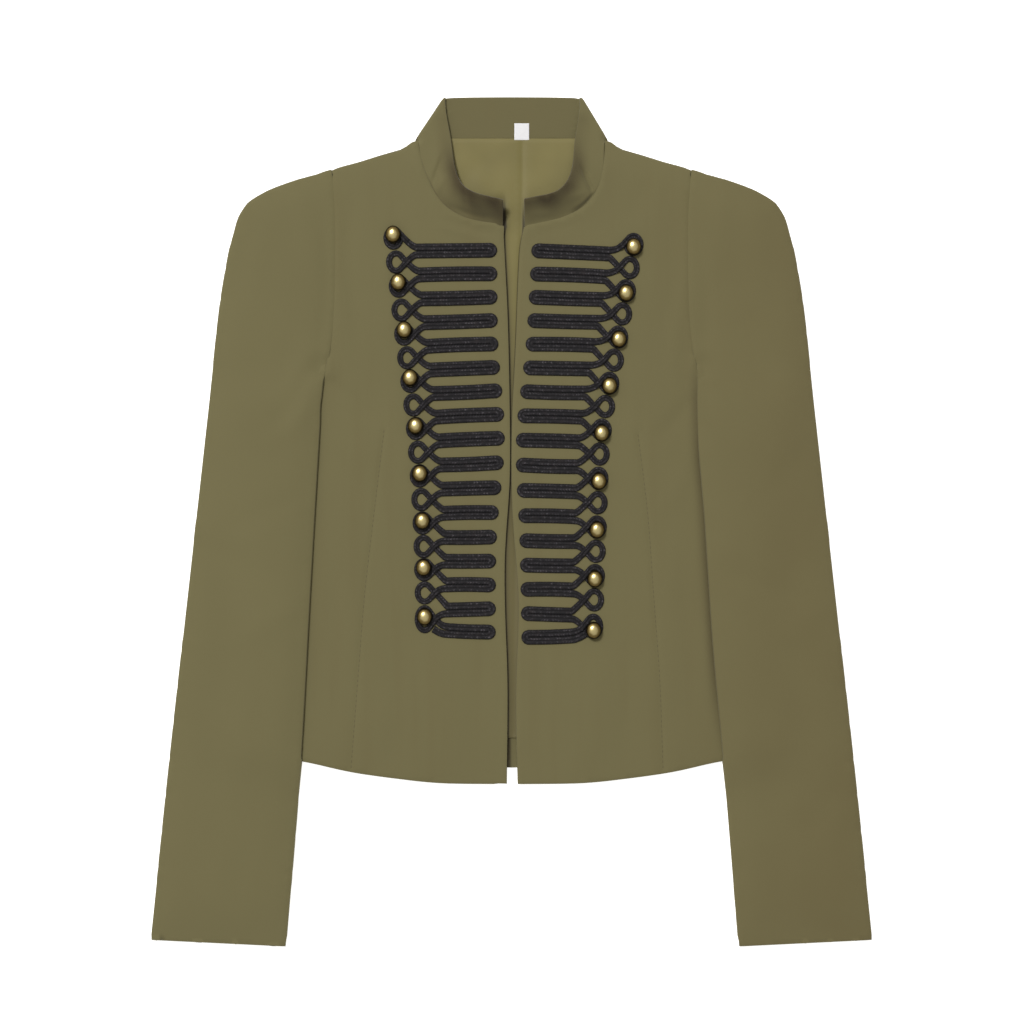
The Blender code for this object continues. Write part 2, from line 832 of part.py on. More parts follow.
def add_ring(path, half, ring, over_in, over_out):
    """Adds a ring from its crossing, round by its lower side, and back to the crossing."""
    centre = ring_centre(half, ring)
    crossing = Spot(centre.out - CROSSING_OUT, centre.up)
    hump = CORD_THICK + GAP
    first_ring = ring == 0
    start = FIRST_RING_START if first_ring else RING_TANGENT
    half_height = half.last_ring_half_height if ring == BARS - 1 else RING_HALF_HEIGHT
    turn = []
    for step in range(RING_STEPS + 1):
        angle = math.radians(start + (360 - start - RING_TANGENT) * step / RING_STEPS)
        out = centre.out - RING_HALF_WIDTH * math.cos(angle)
        turn.append(Spot(out, centre.up - half_height * math.sin(angle)))
    if not first_ring:
        path.add(crossing, RING_CORD, hump if over_in else 0.0)
        if over_in:
            path.add(towards(crossing, turn[0], HUMP_REACH), RING_CORD, hump)
    for place in turn:
        path.add(place, RING_CORD)
    if over_out:
        path.add(towards(crossing, turn[-1], HUMP_REACH), RING_CORD, hump)
    path.add(crossing, RING_CORD, hump if over_out else 0.0)


def add_bar(path, half, bar):
    """Adds a bar: along its upper half to the front edge, round, and back along its lower half."""
    fork, edge = bar_ends(half, bar)
    half_pair = (BAR_CORD + PAIR_GAP) / 2
    turn_centre = towards(edge, fork, half_pair + BAR_CORD / 2)
    run = Vector((fork.out - edge.out, fork.up - edge.up)).normalized()
    across = Vector((-run.y, run.x)) if run.x > 0 else Vector((run.y, -run.x))
    middle = Spot((fork.out + turn_centre.out) / 2, (fork.up + turn_centre.up) / 2)
    path.add(Spot(middle.out + across.x * half_pair, middle.up + across.y * half_pair), BAR_CORD)
    for step in range(TURN_STEPS + 1):
        angle = math.pi * step / TURN_STEPS
        side = across * math.cos(angle) - run * math.sin(angle)
        path.add(Spot(turn_centre.out + side.x * half_pair, turn_centre.up + side.y * half_pair), BAR_CORD)
    path.add(Spot(middle.out - across.x * half_pair, middle.up - across.y * half_pair), BAR_CORD)


def braid_path(half):
    """The whole way of one front's cord, from the first ring to the tail of the last bar."""
    path = CordPath()
    over_in = not half.later_cord_over
    for ring in range(BARS):
        over_out = half.later_cord_over or ring == 0
        if ring > 0:
            add_fork(path, half, ring - 1, ring, above=True, over=over_in, inward=False)
        add_ring(path, half, ring, over_in and ring > 0, over_out)
        add_fork(path, half, ring, ring, above=False, over=over_out, inward=True)
        add_bar(path, half, ring)
    path.add(Spot(half.last_fork.out, half.last_fork.up - (BAR_CORD + PAIR_GAP) / 2), BAR_CORD)
    for place in half.tail:
        path.add(place, BAR_CORD)
    return path


def make_braid(half, finish):
    """One front's braid: a flat cord with chamfered upper edges, laid on the front."""
    path = braid_path(half)
    bm = bmesh.new()
    rows = []
    last = len(path.places) - 1
    for i, (place, half_width, lift) in enumerate(zip(path.places, path.half_widths, path.lifts)):
        here = Vector(half.place(place))
        before = Vector(half.place(path.places[max(i - 1, 0)]))
        after = Vector(half.place(path.places[min(i + 1, last)]))
        into = (here - before).normalized() if i > 0 else (after - here).normalized()
        out_of = (after - here).normalized() if i < last else into
        along = (into + out_of).normalized()
        mitre = 1 / max(along.dot(into), MITRE_LIMIT)
        side = Vector((-along.y, along.x)) * mitre
        low = BRAID_FLOOR + lift
        rows.append(
            [
                bm.verts.new((*(here + side * width), high))
                for width, high in (
                    (half_width, low),
                    (half_width - CORD_CHAMFER, low + CORD_THICK),
                    (CORD_CHAMFER - half_width, low + CORD_THICK),
                    (-half_width, low),
                )
            ]
        )
    for row, after in zip(rows, rows[1:]):
        for i in range(4):
            bm.faces.new((row[i], row[(i + 1) % 4], after[(i + 1) % 4], after[i]))
    bm.faces.new(rows[0])
    bm.faces.new(rows[-1][::-1])
    return add_object(f"braid_{half.name}", bm, finish, CORD_SHARP)


def button_mesh(finish):
    """The dome button's mesh, turned about its shank, with its foot at 0."""
    profile = [(0.0, 0.0), (SHANK_RADIUS, 0.0), (SHANK_RADIUS, DOME_FOOT)]
    profile.append((DOME_RADIUS - RIM_BEVEL, DOME_FOOT))
    rim_top = DOME_FOOT + RIM_DEPTH
    for step in range(DOME_STEPS):
        angle = math.pi / 2 * step / DOME_STEPS
        profile.append((DOME_RADIUS * math.cos(angle), rim_top + (DOME_HEIGHT - rim_top) * math.sin(angle)))
    profile.append((0.0, DOME_HEIGHT))
    bm = bmesh.new()
    verts = [bm.verts.new((radius, 0.0, high)) for radius, high in profile]
    edges = [bm.edges.new(pair) for pair in zip(verts, verts[1:])]
    bmesh.ops.spin(
        bm, geom=verts + edges, cent=(0, 0, 0), axis=(0, 0, 1), angle=math.tau, steps=BUTTON_STEPS
    )
    bmesh.ops.remove_doubles(bm, verts=bm.verts[:], dist=0.001)
    bmesh.ops.recalc_face_normals(bm, faces=bm.faces[:])
    bmesh.ops.scale(bm, vec=(MM, DOME_STRETCH * MM, MM), verts=bm.verts[:])
    mesh = bpy.data.meshes.new("button")
    bm.to_mesh(mesh)
    bm.free()
    mesh.materials.append(finish)
    mesh.shade_smooth()
    mesh.set_sharp_from_angle(angle=math.radians(BUTTON_SHARP))
    return mesh


def make_buttons(half, mesh):
    """The buttons, one in every second ring, each standing a little off the ring's centre."""
    for number, ring in enumerate(range(0, BARS, 2), start=1):
        centre = ring_centre(half, ring)
        rise = value_at(half.braid, "dome_rise", ring / BARS_PER_ROW)
        x, y = half.place(Spot(centre.out, centre.up + rise))
        button = bpy.data.objects.new(f"button_{half.name}_{number}", mesh)
        button.location = (x * MM, y * MM, BRAID_FLOOR * MM)
        bpy.context.collection.objects.link(button)


def main():
    for old in list(bpy.data.objects):
        bpy.data.objects.remove(old)
    cloth = material("olive_suiting", (0.171, 0.153, 0.075), 0.85)
    lining = material("olive_lining", (0.230, 0.212, 0.094), 0.55)
    braid = material("black_braid", (0.020, 0.018, 0.018), 0.70)
    brass = material("antique_brass", (0.440, 0.330, 0.130), 0.35, metallic=1.0)
    label = material("white_label", (0.860, 0.870, 0.880), 0.80)

    make_back(cloth)
    make_lining(lining)
    make_collar(cloth)
    make_label(label)
    dome = button_mesh(brass)
    for half in HALVES:
        make_front(half, cloth)
        make_sleeve(half, cloth)
        make_braid(half, braid)
        make_buttons(half, dome)


if __name__ == "__main__":
    main()
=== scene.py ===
"""Looks of the short suit jacket with a stand collar and braided fronts, laid flat on its back.

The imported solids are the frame. Each cloth solid is dressed with a finer shell read from that solid's own
upper side, each braid and button is made again in finer form, and every surface gets its own finish.
Right and left are the wearer's. Places on one half are given as out, the distance from the centre line, and
up, the height along the jacket, in millimetres.
"""

import logging
import math
from collections.abc import Callable, Sequence
from dataclasses import dataclass, field
from enum import Enum
from typing import NamedTuple

import bmesh
import bpy
import numpy as np
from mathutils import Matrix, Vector
from mathutils.bvhtree import BVHTree
from mathutils.geometry import delaunay_2d_cdt


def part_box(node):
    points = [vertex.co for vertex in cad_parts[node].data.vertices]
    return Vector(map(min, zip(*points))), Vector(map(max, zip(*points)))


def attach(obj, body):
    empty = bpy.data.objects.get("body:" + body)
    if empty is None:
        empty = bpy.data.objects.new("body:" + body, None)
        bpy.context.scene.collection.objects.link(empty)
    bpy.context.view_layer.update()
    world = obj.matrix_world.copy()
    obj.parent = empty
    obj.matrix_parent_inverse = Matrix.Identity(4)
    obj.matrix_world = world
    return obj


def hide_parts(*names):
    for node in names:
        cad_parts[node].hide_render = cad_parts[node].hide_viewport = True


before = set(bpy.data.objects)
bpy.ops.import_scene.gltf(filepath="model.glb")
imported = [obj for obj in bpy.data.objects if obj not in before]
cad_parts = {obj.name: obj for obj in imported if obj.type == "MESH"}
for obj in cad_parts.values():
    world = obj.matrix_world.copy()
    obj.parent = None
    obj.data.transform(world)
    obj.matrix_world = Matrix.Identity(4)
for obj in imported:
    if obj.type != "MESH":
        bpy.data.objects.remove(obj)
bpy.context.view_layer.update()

MM = 0.001
LOG = logging.getLogger("jacket")

Colour = tuple[float, float, float]
Line = list[tuple[float, float]]
Places = tuple[tuple[float, float], ...]


class Side(Enum):
    """The wearer's two sides, each with the sign of its X."""

    RIGHT = -1
    LEFT = 1

    @property
    def word(self) -> str:
        """The side's name as the nodes spell it."""
        return self.name.lower()


class Spot(NamedTuple):
    """A place on one half of the jacket, in millimetres."""

    out: float
    up: float


class Crease(NamedTuple):
    """A soft trough, or a ridge where depth is below 0, between two places given as out and up."""

    start: tuple[float, float]
    end: tuple[float, float]
    depth: float
    width: float


# Shader expressions


class Signal:
    """A node's output with arithmetic, so that shader maths reads as an expression."""

    def __init__(self, board: "Board", socket: bpy.types.NodeSocket) -> None:
        """Wraps a socket of the board."""
        self.board = board
        self.socket = socket

    def _maths(self, operation: str, *values: "Signal | float") -> "Signal":
        """Adds one Math node.

        Args:
            operation: the Math node's operation.
            values: its inputs, in order.

        Returns:
            The node's value.
        """
        sockets = dict(enumerate(values))
        return self.board.node("ShaderNodeMath", {"operation": operation}, sockets)

    def __add__(self, other: "Signal | float") -> "Signal":
        """Sum."""
        return self._maths("ADD", self, other)

    __radd__ = __add__

    def __mul__(self, other: "Signal | float") -> "Signal":
        """Product."""
        return self._maths("MULTIPLY", self, other)

    __rmul__ = __mul__

    def __sub__(self, other: "Signal | float") -> "Signal":
        """Difference."""
        return self._maths("SUBTRACT", self, other)

    def __rsub__(self, other: float) -> "Signal":
        """Difference from a number."""
        return self._maths("SUBTRACT", other, self)

    def sine(self) -> "Signal":
        """Sine of the value in radians."""
        return self._maths("SINE", self)

    def size(self) -> "Signal":
        """Value without its sign."""
        return self._maths("ABSOLUTE", self)


class Board:
    """A node tree with its shader, and one way to add any node."""

    def __init__(self, holder: bpy.types.Material | bpy.types.World, shader: str = "Principled BSDF") -> None:
        """Takes the tree of a new material or world.

        Args:
            holder: the material or world.
            shader: the name of its shader node.
        """
        holder.use_nodes = True
        self.holder = holder
        self.tree = holder.node_tree
        self.shader = self.tree.nodes[shader]

    def node(self, kind: str, settings: dict, sockets: dict, output: int | str = 0) -> Signal:
        """Adds a node.

        Args:
            kind: the node's type.
            settings: its properties, set before its sockets.
            sockets: input names or numbers with their values or links.
            output: which output to return.

        Returns:
            The chosen output.
        """
        made = self.tree.nodes.new(kind)
        for key, value in settings.items():
            setattr(made, key, value)
        for key, value in sockets.items():
            if isinstance(value, Signal):
                self.tree.links.new(value.socket, made.inputs[key])
            else:
                made.inputs[key].default_value = value
        return Signal(self, made.outputs[output])

    def coordinate(self, which: str = "Object") -> Signal:
        """Texture coordinates of the piece."""
        return self.node("ShaderNodeTexCoord", {}, {}, which)

    def noise(self, scale: float, detail: float = 2.0, where: Signal | None = None) -> Signal:
        """Noise from 0 to 1.

        Args:
            scale: waves a metre.
            detail: how many finer layers it has.
            where: its coordinates, the piece's own if left out.

        Returns:
            The noise value.
        """
        place = where or self.coordinate()
        return self.node("ShaderNodeTexNoise", {}, {"Vector": place, "Scale": scale, "Detail": detail})

    def stretched(self, scales: tuple[float, float, float]) -> Signal:
        """The piece's coordinates, each times its own number.

        Args:
            scales: the three numbers.

        Returns:
            The coordinates.
        """
        return self.node(
            "ShaderNodeVectorMath", {"operation": "MULTIPLY"}, {0: self.coordinate(), 1: scales}, "Vector"
        )

    def shadow(self, away: Signal) -> Signal:
        """How strong a painted shadow is beside a layer that lies over it, from 1 at its edge to 0 where away
        is 1.
        """
        near = self.remap(away, 0.38, 0.10) * 0.62
        return near + self.remap(away, 1.0, -0.05) * 0.36

    def axes(self, where: Signal) -> tuple[Signal, Signal, Signal]:
        """The three numbers of a coordinate.

        Args:
            where: the coordinate.

        Returns:
            The three numbers.
        """
        split = self.node("ShaderNodeSeparateXYZ", {}, {"Vector": where})
        return tuple(Signal(self, output) for output in split.socket.node.outputs)

    def blend(self, share: Signal, first: Colour | Signal, second: Colour | Signal) -> Signal:
        """Mixes two colours.

        Args:
            share: 0 for the first colour, 1 for the second.
            first: a colour or a link.
            second: a colour or a link.

        Returns:
            The mixed colour.
        """
        ends = [end if isinstance(end, Signal) else (*end, 1.0) for end in (first, second)]
        return self.node(
            "ShaderNodeMix", {"data_type": "RGBA"}, {0: share, 6: ends[0], 7: ends[1]}, 2
        )

    def remap(self, value: Signal, low: float, high: float) -> Signal:
        """The value's share of the way from low to high, from 0 to 1, softly.

        Args:
            value: the value.
            low: where the share is 0.
            high: where it is 1.

        Returns:
            The share.
        """
        return self.node(
            "ShaderNodeMapRange",
            {"interpolation_type": "SMOOTHSTEP"},
            {"Value": value, "From Min": low, "From Max": high},
        )

    def feed(self, socket: str, value: Signal) -> None:
        """Links a value to the shader."""
        self.tree.links.new(value.socket, self.shader.inputs[socket])

    def fix(self, **values: float | tuple[float, ...]) -> None:
        """Sets the shader's own sockets; an underscore stands for a space."""
        for key, value in values.items():
            self.shader.inputs[key.replace("_", " ")].default_value = value

    def emboss(self, height: Signal, distance: float, strength: float) -> None:
        """Raises the surface by a height map.

        Args:
            height: the map, from 0 to 1.
            distance: metres that 1 stands for.
            strength: how much of it shows.
        """
        bump = self.node(
            "ShaderNodeBump", {}, {"Height": height, "Distance": distance, "Strength": strength}
        )
        self.feed("Normal", bump)


# Finishes


@dataclass(frozen=True)
class Suiting:
    """Matt olive suiting with a fine twill, with painted shade towards the wearer's left, where the light
    falls off, and in the folds.

    Attributes:
        olive, brown, pale: the cloth's colours; brown is also the painted falloff's colour.
        shade, dusk: the painted shade in the folds and the painted shadow beside the front's edge.
        gap_edge: where that shadow begins, in millimetres across.
        gap_depth: how far it reaches, in millimetres.
        hem_rise: where it comes in, in metres up.
        painted_falloff: where the cloth turns browner and darker, a painted falloff of the light, in metres
            across.
        rib: the twill's width, in millimetres.
        slub: how fine the yarn's unevenness is.
    """

    olive: Colour = (0.158, 0.142, 0.064)
    brown: Colour = (0.145, 0.122, 0.053)
    pale: Colour = (0.171, 0.154, 0.070)
    shade: Colour = (0.044, 0.032, 0.014)
    dusk: Colour = (0.024, 0.018, 0.007)
    gap_edge: float = -2.7
    gap_depth: float = 8.5
    hem_rise: tuple[float, float] = (-0.160, -0.170)
    painted_falloff: tuple[float, float] = (0.10, 0.36)
    rib: float = 1.1
    slub: float = 900.0

    def material(
        self, name: str = "olive_suiting", folds: bool = False, back: bool = False
    ) -> bpy.types.Material:
        """Makes the material.

        Args:
            name: its name.
            folds: whether the piece's map paints shade into its folds and hollows.
            back: whether it is the back, which takes a painted shadow where it shows beside the front's edge.

        Returns:
            The material.
        """
        board = Board(bpy.data.materials.new(name))
        x, y, _ = board.axes(board.coordinate())
        drift = board.noise(5.0, 3.0)
        # painted shade: browner and darker towards the wearer's left, where the light falls off
        across = board.remap(x + drift * 0.10, *self.painted_falloff)
        body = board.blend(across, self.olive, self.brown)
        cloud = board.remap(board.noise(11.0, 4.0), 0.35, 0.75)
        body = board.blend(cloud * 0.35, body, self.pale)
        if folds:
            # painted shade from the piece's map: in the folds, beside the sleeve's edge and on the collar
            depth, _, _ = board.axes(board.coordinate("UV"))
            body = board.blend(depth * (0.75 + drift * 0.5), body, self.shade)
            streaks = board.remap(board.noise(1.0, 2.0, board.stretched((75.0, 7.0, 40.0))), 0.45, 0.75)
            body = board.blend(streaks * 0.25, body, self.brown)
        if back:
            # painted shadow of the front's edge on the back's hem strip
            beside = (x * (1 / MM) - self.gap_edge) * (1 / self.gap_depth)
            inside = board.remap(beside, -0.4, -0.1) * board.remap(y, *self.hem_rise)
            body = board.blend(board.shadow(beside) * inside, body, self.dusk)
        yarn = board.noise(self.slub, 2.0)
        board.feed("Base Color", board.blend(yarn * 0.22, body, self.brown))
        twill = ((x + y) * (2 * math.pi / (self.rib * MM))).sine() * 0.5 + 0.5
        board.emboss(twill * 0.45 + yarn * 0.55, 0.00016, 0.5)
        board.fix(Roughness=0.82, Sheen_Weight=0.18, Sheen_Roughness=0.5, Specular_IOR_Level=0.3)
        return board.holder


@dataclass(frozen=True)
class LiningSatin:
    """Smooth lining, lighter and greener than the suiting, with a soft sheen, painted shade towards the hem
    and painted shadows beside the fronts' edges.

    Attributes:
        light, deep, low: its colours, the last a painted shade towards the hem.
        dusk: its colour in the painted shadows beside the fronts' edges.
        painted_low_shade: where it takes that painted shade, in metres up.
        right_end: where the right front's shadow runs out, in metres up.
        left_start, left_end: where the left front's shadow comes in and runs out, in metres up.
        weft: the weave's width, in millimetres.
    """

    light: Colour = (0.207, 0.180, 0.066)
    deep: Colour = (0.166, 0.144, 0.052)
    low: Colour = (0.138, 0.119, 0.052)
    dusk: Colour = (0.024, 0.018, 0.007)
    painted_low_shade: tuple[float, float] = (0.24, 0.02)
    right_end: tuple[float, float] = (0.246, 0.266)
    left_start: tuple[float, float] = (0.085, 0.135)
    left_end: tuple[float, float] = (0.236, 0.262)
    weft: float = 0.5

    def material(self) -> bpy.types.Material:
        """Makes the material. The map's numbers are how far it is from each front's edge, see `beside`.

        Returns:
            The material.
        """
        board = Board(bpy.data.materials.new("olive_lining"))
        right, left, _ = board.axes(board.coordinate("UV"))
        x, y, _ = board.axes(board.coordinate())
        cloud = board.remap(board.noise(16.0, 3.0), 0.3, 0.8)
        body = board.blend(cloud, self.light, self.deep)
        # painted shade: the lining darkens down the gap towards the hem
        body = board.blend(board.remap(y, *self.painted_low_shade), body, self.low)
        # painted shadows cast by the fronts' edges on the lining
        body = board.blend(board.shadow(right) * (1 - board.remap(y, *self.right_end)), body, self.dusk)
        upper = board.remap(y, *self.left_start) * (1 - board.remap(y, *self.left_end))
        body = board.blend(board.remap(left, 0.22, 0.05) * upper * 0.8, body, self.dusk)
        board.feed("Base Color", body)
        weft = (y * (2 * math.pi / (self.weft * MM))).sine() * 0.5 + 0.5
        board.emboss(weft * 0.3 + board.noise(700.0) * 0.7, 0.00006, 0.4)
        board.fix(Roughness=0.5, Sheen_Weight=0.05, Specular_IOR_Level=0.22)
        return board.holder


@dataclass(frozen=True)
class BraidYarn:
    """Black braid: slanted plaits on both ridges, with painted grey glints on the yarn and a dark groove."""

    black: Colour = (0.0085, 0.0078, 0.0100)
    glint: Colour = (0.092, 0.084, 0.096)
    warm: Colour = (0.028, 0.022, 0.023)
    plait: float = 2.3

    def material(self) -> bpy.types.Material:
        """Makes the material. The map's first number runs along the cord, the second across it.

        Returns:
            The material.
        """
        board = Board(bpy.data.materials.new("black_braid"))
        along, across, _ = board.axes(board.coordinate("UV"))
        ridge = (across.size() - 0.5).size()
        slant = along * (2 * math.pi / self.plait) + ridge * 9.0
        plait = slant.sine() * 0.5 + 0.5
        groove = board.remap(across.size(), 0.0, 0.2)
        # painted highlight: grey glints in spots on the ridges' crowns
        crown = board.remap(ridge, 0.42, 0.05)
        painted_glint_spots = board.remap(board.noise(420.0, 3.0), 0.44, 0.70)
        yarn = board.blend(painted_glint_spots * crown * plait, self.black, self.glint)
        dust = board.remap(board.noise(260.0), 0.5, 0.8)
        board.feed("Base Color", board.blend(dust * 0.5, yarn, self.warm))
        board.emboss((plait * 0.7 + board.noise(2400.0) * 0.3) * groove, 0.00035, 0.8)
        board.fix(Roughness=0.66, Specular_IOR_Level=0.25, Sheen_Weight=0.05)
        return board.holder


@dataclass(frozen=True)
class AntiqueBrass:
    """Cast brass dome, with a painted highlight on top and its rim dark with patina and a painted reflection
    of the dim surround.
    """

    painted_highlight: Colour = (0.720, 0.610, 0.300)
    aged: Colour = (0.290, 0.215, 0.080)
    dark: Colour = (0.034, 0.025, 0.011)

    def material(self) -> bpy.types.Material:
        """Makes the material. The map's second number runs from the shank, 0, to the crown, 1.

        Returns:
            The material.
        """
        board = Board(bpy.data.materials.new("antique_brass"))
        _, rise, _ = board.axes(board.coordinate("UV"))
        stain = board.noise(420.0, 4.0) * 0.16
        # painted reflection of the dim surround, with patina, darkens the rim; a painted highlight brightens
        # the crown
        rim = board.remap(rise + stain, 0.76, 0.93)
        crown = board.remap(rise + stain, 0.96, 1.08)
        body = board.blend(crown, board.blend(rim, self.dark, self.aged), self.painted_highlight)
        board.feed("Base Color", body)
        board.feed("Roughness", 0.46 - crown * 0.16)
        board.emboss(board.noise(1300.0, 3.0), 0.00006, 0.35)
        board.fix(Metallic=1.0)
        return board.holder


@dataclass(frozen=True)
class LabelTape:
    """Blank white satin tape."""

    white: Colour = (0.84, 0.85, 0.88)
    shade: Colour = (0.70, 0.71, 0.76)
    thread: float = 0.4

    def material(self) -> bpy.types.Material:
        """Makes the material.

        Returns:
            The material.
        """
        board = Board(bpy.data.materials.new("white_label"))
        x, y, _ = board.axes(board.coordinate())
        board.feed("Base Color", board.blend(board.noise(900.0) * 0.5, self.white, self.shade))
        turn = 2 * math.pi / (self.thread * MM)
        weave = (x * turn).sine() * (y * turn).sine()
        board.emboss(weave * 0.5 + 0.5, 0.00005, 0.4)
        board.fix(Roughness=0.6)
        return board.holder


@dataclass(frozen=True)
class SewingThread:
    """Thread of the darts and the seams, darker than the cloth."""

    dark: Colour = (0.075, 0.062, 0.028)
    light: Colour = (0.120, 0.102, 0.050)

    def material(self) -> bpy.types.Material:
        """Makes the material.

        Returns:
            The material.
        """
        board = Board(bpy.data.materials.new("olive_thread"))
        board.feed("Base Color", board.blend(board.noise(1200.0), self.dark, self.light))
        board.fix(Roughness=0.7)
        return board.holder


@dataclass(frozen=True)
class PaleFloor:
    """The plain pale surface that the jacket lies on."""

    white: Colour = (0.93, 0.93, 0.93)
    dull: Colour = (0.90, 0.90, 0.90)
    glow: float = 0.75

    def material(self) -> bpy.types.Material:
        """Makes the material.

        Returns:
            The material.
        """
        board = Board(bpy.data.materials.new("pale_floor"))
        board.feed("Base Color", board.blend(board.noise(2.0) * 0.2, self.white, self.dull))
        board.fix(Roughness=0.9, Specular_IOR_Level=0.1, Emission_Strength=self.glow)
        board.fix(Emission_Color=(1.0, 1.0, 1.0, 1.0))
        return board.holder


# Plan geometry


def eased(
    t: float,
    ends: Sequence[float | np.ndarray],
    slopes: Sequence[float | np.ndarray],
    length: float = 1.0,
) -> float | np.ndarray:
    """A smooth curve's value between its two ends.

    Args:
        t: the share of the way, from 0 to 1.
        ends: the values at both ends.
        slopes: the curve's slopes there.
        length: how long the way is.

    Returns:
        The value.
    """
    return (
        (1 + 2 * t) * (1 - t) ** 2 * ends[0]
        + t * (1 - t) ** 2 * length * slopes[0]
        + t * t * (3 - 2 * t) * ends[1]
        - t * t * (1 - t) * length * slopes[1]
    )


def smooth(points: Sequence[Sequence[float]], spacing: float) -> list[tuple[float, ...]]:
    """A smooth line through points.

    Args:
        points: the places that it passes.
        spacing: about how far apart its own points are.

    Returns:
        The line's points.
    """
    along = np.concatenate([[0.0], np.cumsum([math.dist(a, b) for a, b in zip(points, points[1:])])])
    spots = np.array(points, float)
    if len(points) > 2:
        slopes = np.gradient(spots, along, axis=0)
    else:
        slopes = np.diff(spots, axis=0).repeat(2, 0) / along[-1]
    line: list[tuple[float, ...]] = []
    for i, length in enumerate(np.diff(along)):
        steps = max(1, round(length / spacing))
        for step in range(steps):
            line.append(tuple(eased(step / steps, spots[i : i + 2], slopes[i : i + 2], length)))
    line.append(tuple(spots[-1]))
    return line


def soften_loop(loop: np.ndarray, spacing: float, corner: float = 28.0) -> Line:
    """A closed outline with finer points, smooth but for its corners.

    Args:
        loop: the outline's points in order.
        spacing: the finer points' distance.
        corner: a turn above this many degrees stays sharp.

    Returns:
        The finer outline.
    """
    count = len(loop)
    ahead = np.roll(loop, -1, axis=0) - loop
    behind = loop - np.roll(loop, 1, axis=0)
    cross = behind[:, 0] * ahead[:, 1] - behind[:, 1] * ahead[:, 0]
    turn = np.abs(np.degrees(np.arctan2(cross, (behind * ahead).sum(axis=1))))
    corners = [i for i in range(count) if turn[i] > corner] or [0]
    fine: Line = []
    for first, last in zip(corners, corners[1:] + [corners[0] + count]):
        run = [tuple(loop[i % count]) for i in range(first, last + 1)]
        fine += smooth(run, spacing)[:-1]
    return fine


def distances(line: Line, places: np.ndarray) -> np.ndarray:
    """Distance from each place to a line.

    Args:
        line: the line's points.
        places: an array of places, one a row.

    Returns:
        One distance a place.
    """
    nearest = np.full(len(places), np.inf)
    for start, end in zip(line, line[1:]):
        a = np.array(start)
        run = np.array(end) - a
        t = np.clip(((places - a) @ run) / max(run @ run, 1e-12), 0, 1)
        nearest = np.minimum(nearest, np.hypot(*(places - a - t[:, None] * run).T))
    return nearest


def within(outline: Line, places: np.ndarray) -> np.ndarray:
    """Whether each place is inside a closed outline.

    Args:
        outline: the outline's points in order.
        places: an array of places, one a row.

    Returns:
        One truth value a place.
    """
    odd = np.zeros(len(places), bool)
    x, y = places.T
    for (ax, ay), (bx, by) in zip(outline, outline[1:] + outline[:1]):
        if ay == by:
            continue
        crosses = (ay > y) != (by > y)
        odd ^= crosses & (x < ax + (y - ay) / (by - ay) * (bx - ax))
    return odd


def fade(low: float, high: float, value: np.ndarray) -> np.ndarray:
    """0 below low and 1 above high, with a soft change between."""
    t = np.clip((value - low) / (high - low), 0, 1)
    return t * t * (3 - 2 * t)


def on_side(side: Side, places: Sequence[tuple[float, float]]) -> Line:
    """Places given as out and up, as places in plan."""
    return [(side.value * out, up) for out, up in places]


def signed_area(loop: np.ndarray) -> float:
    """Area inside a closed outline, above 0 where it turns left."""
    x, y = loop.T
    return (x * np.roll(y, -1) - y * np.roll(x, -1)).sum() / 2


def unit(rows: np.ndarray) -> np.ndarray:
    """Each row's direction, with length 1."""
    return rows / np.maximum(np.hypot(*rows.T), 1e-9)[:, None]


def outward_of(loop: np.ndarray) -> np.ndarray:
    """The direction out of a closed outline at each of its points.

    Args:
        loop: the outline's points in order.

    Returns:
        One direction a point, each with length 1.
    """
    tangent = unit(np.roll(loop, -1, axis=0) - np.roll(loop, 1, axis=0))
    outward = np.stack([tangent[:, 1], -tangent[:, 0]], axis=1)
    return outward if signed_area(loop) > 0 else -outward


def offset_line(line: Line, distance: float) -> Line:
    """The line moved sideways.

    Args:
        line: the line's points.
        distance: how far to its left.

    Returns:
        The moved line's points.
    """
    spots = np.array(line)
    run = unit(np.gradient(spots, axis=0))
    moved = spots + np.stack([-run[:, 1], run[:, 0]], axis=1) * distance
    return [tuple(spot) for spot in moved]


def crease_height(creases: Sequence[Crease], side: Side, places: np.ndarray) -> np.ndarray:
    """How far creases move the cloth at each place, in millimetres.

    Args:
        creases: the creases of one piece.
        side: the half that they lie on.
        places: the places, in millimetres.

    Returns:
        One height a place, below 0 in a trough.
    """
    height = np.zeros(len(places))
    for number, crease in enumerate(creases):
        start, end = np.array(on_side(side, (crease.start, crease.end)))
        run = end - start
        length = np.hypot(*run)
        t = ((places - start) @ run) / length**2
        bow = 0.06 * length * math.sin(number * 2.1) * np.sin(np.clip(t, 0, 1) * math.pi)
        across = (places - start) @ np.array([-run[1], run[0]]) / length - bow
        taper = fade(-0.25, 0.3, t) * (1 - fade(0.7, 1.25, t))
        width = crease.width * (0.8 + 0.4 * np.clip(t, 0, 1))
        height -= crease.depth * taper * np.exp(-((across / width) ** 2))
    return height


def new_object(name: str, mesh: bpy.types.Mesh, finish: bpy.types.Material) -> bpy.types.Object:
    """Links a mesh as a piece with its finish.

    Args:
        name: the piece's name.
        mesh: its mesh.
        finish: its material.

    Returns:
        The piece.
    """
    mesh.materials.append(finish)
    mesh.shade_smooth()
    piece = bpy.data.objects.new(name, mesh)
    bpy.context.collection.objects.link(piece)
    return piece


def mesh_from(bm: bmesh.types.BMesh, name: str) -> bpy.types.Mesh:
    """Makes a mesh of an edited form and lets that form go.

    Args:
        bm: the form.
        name: the mesh's name.

    Returns:
        The mesh.
    """
    mesh = bpy.data.meshes.new(name)
    bm.to_mesh(mesh)
    bm.free()
    return mesh


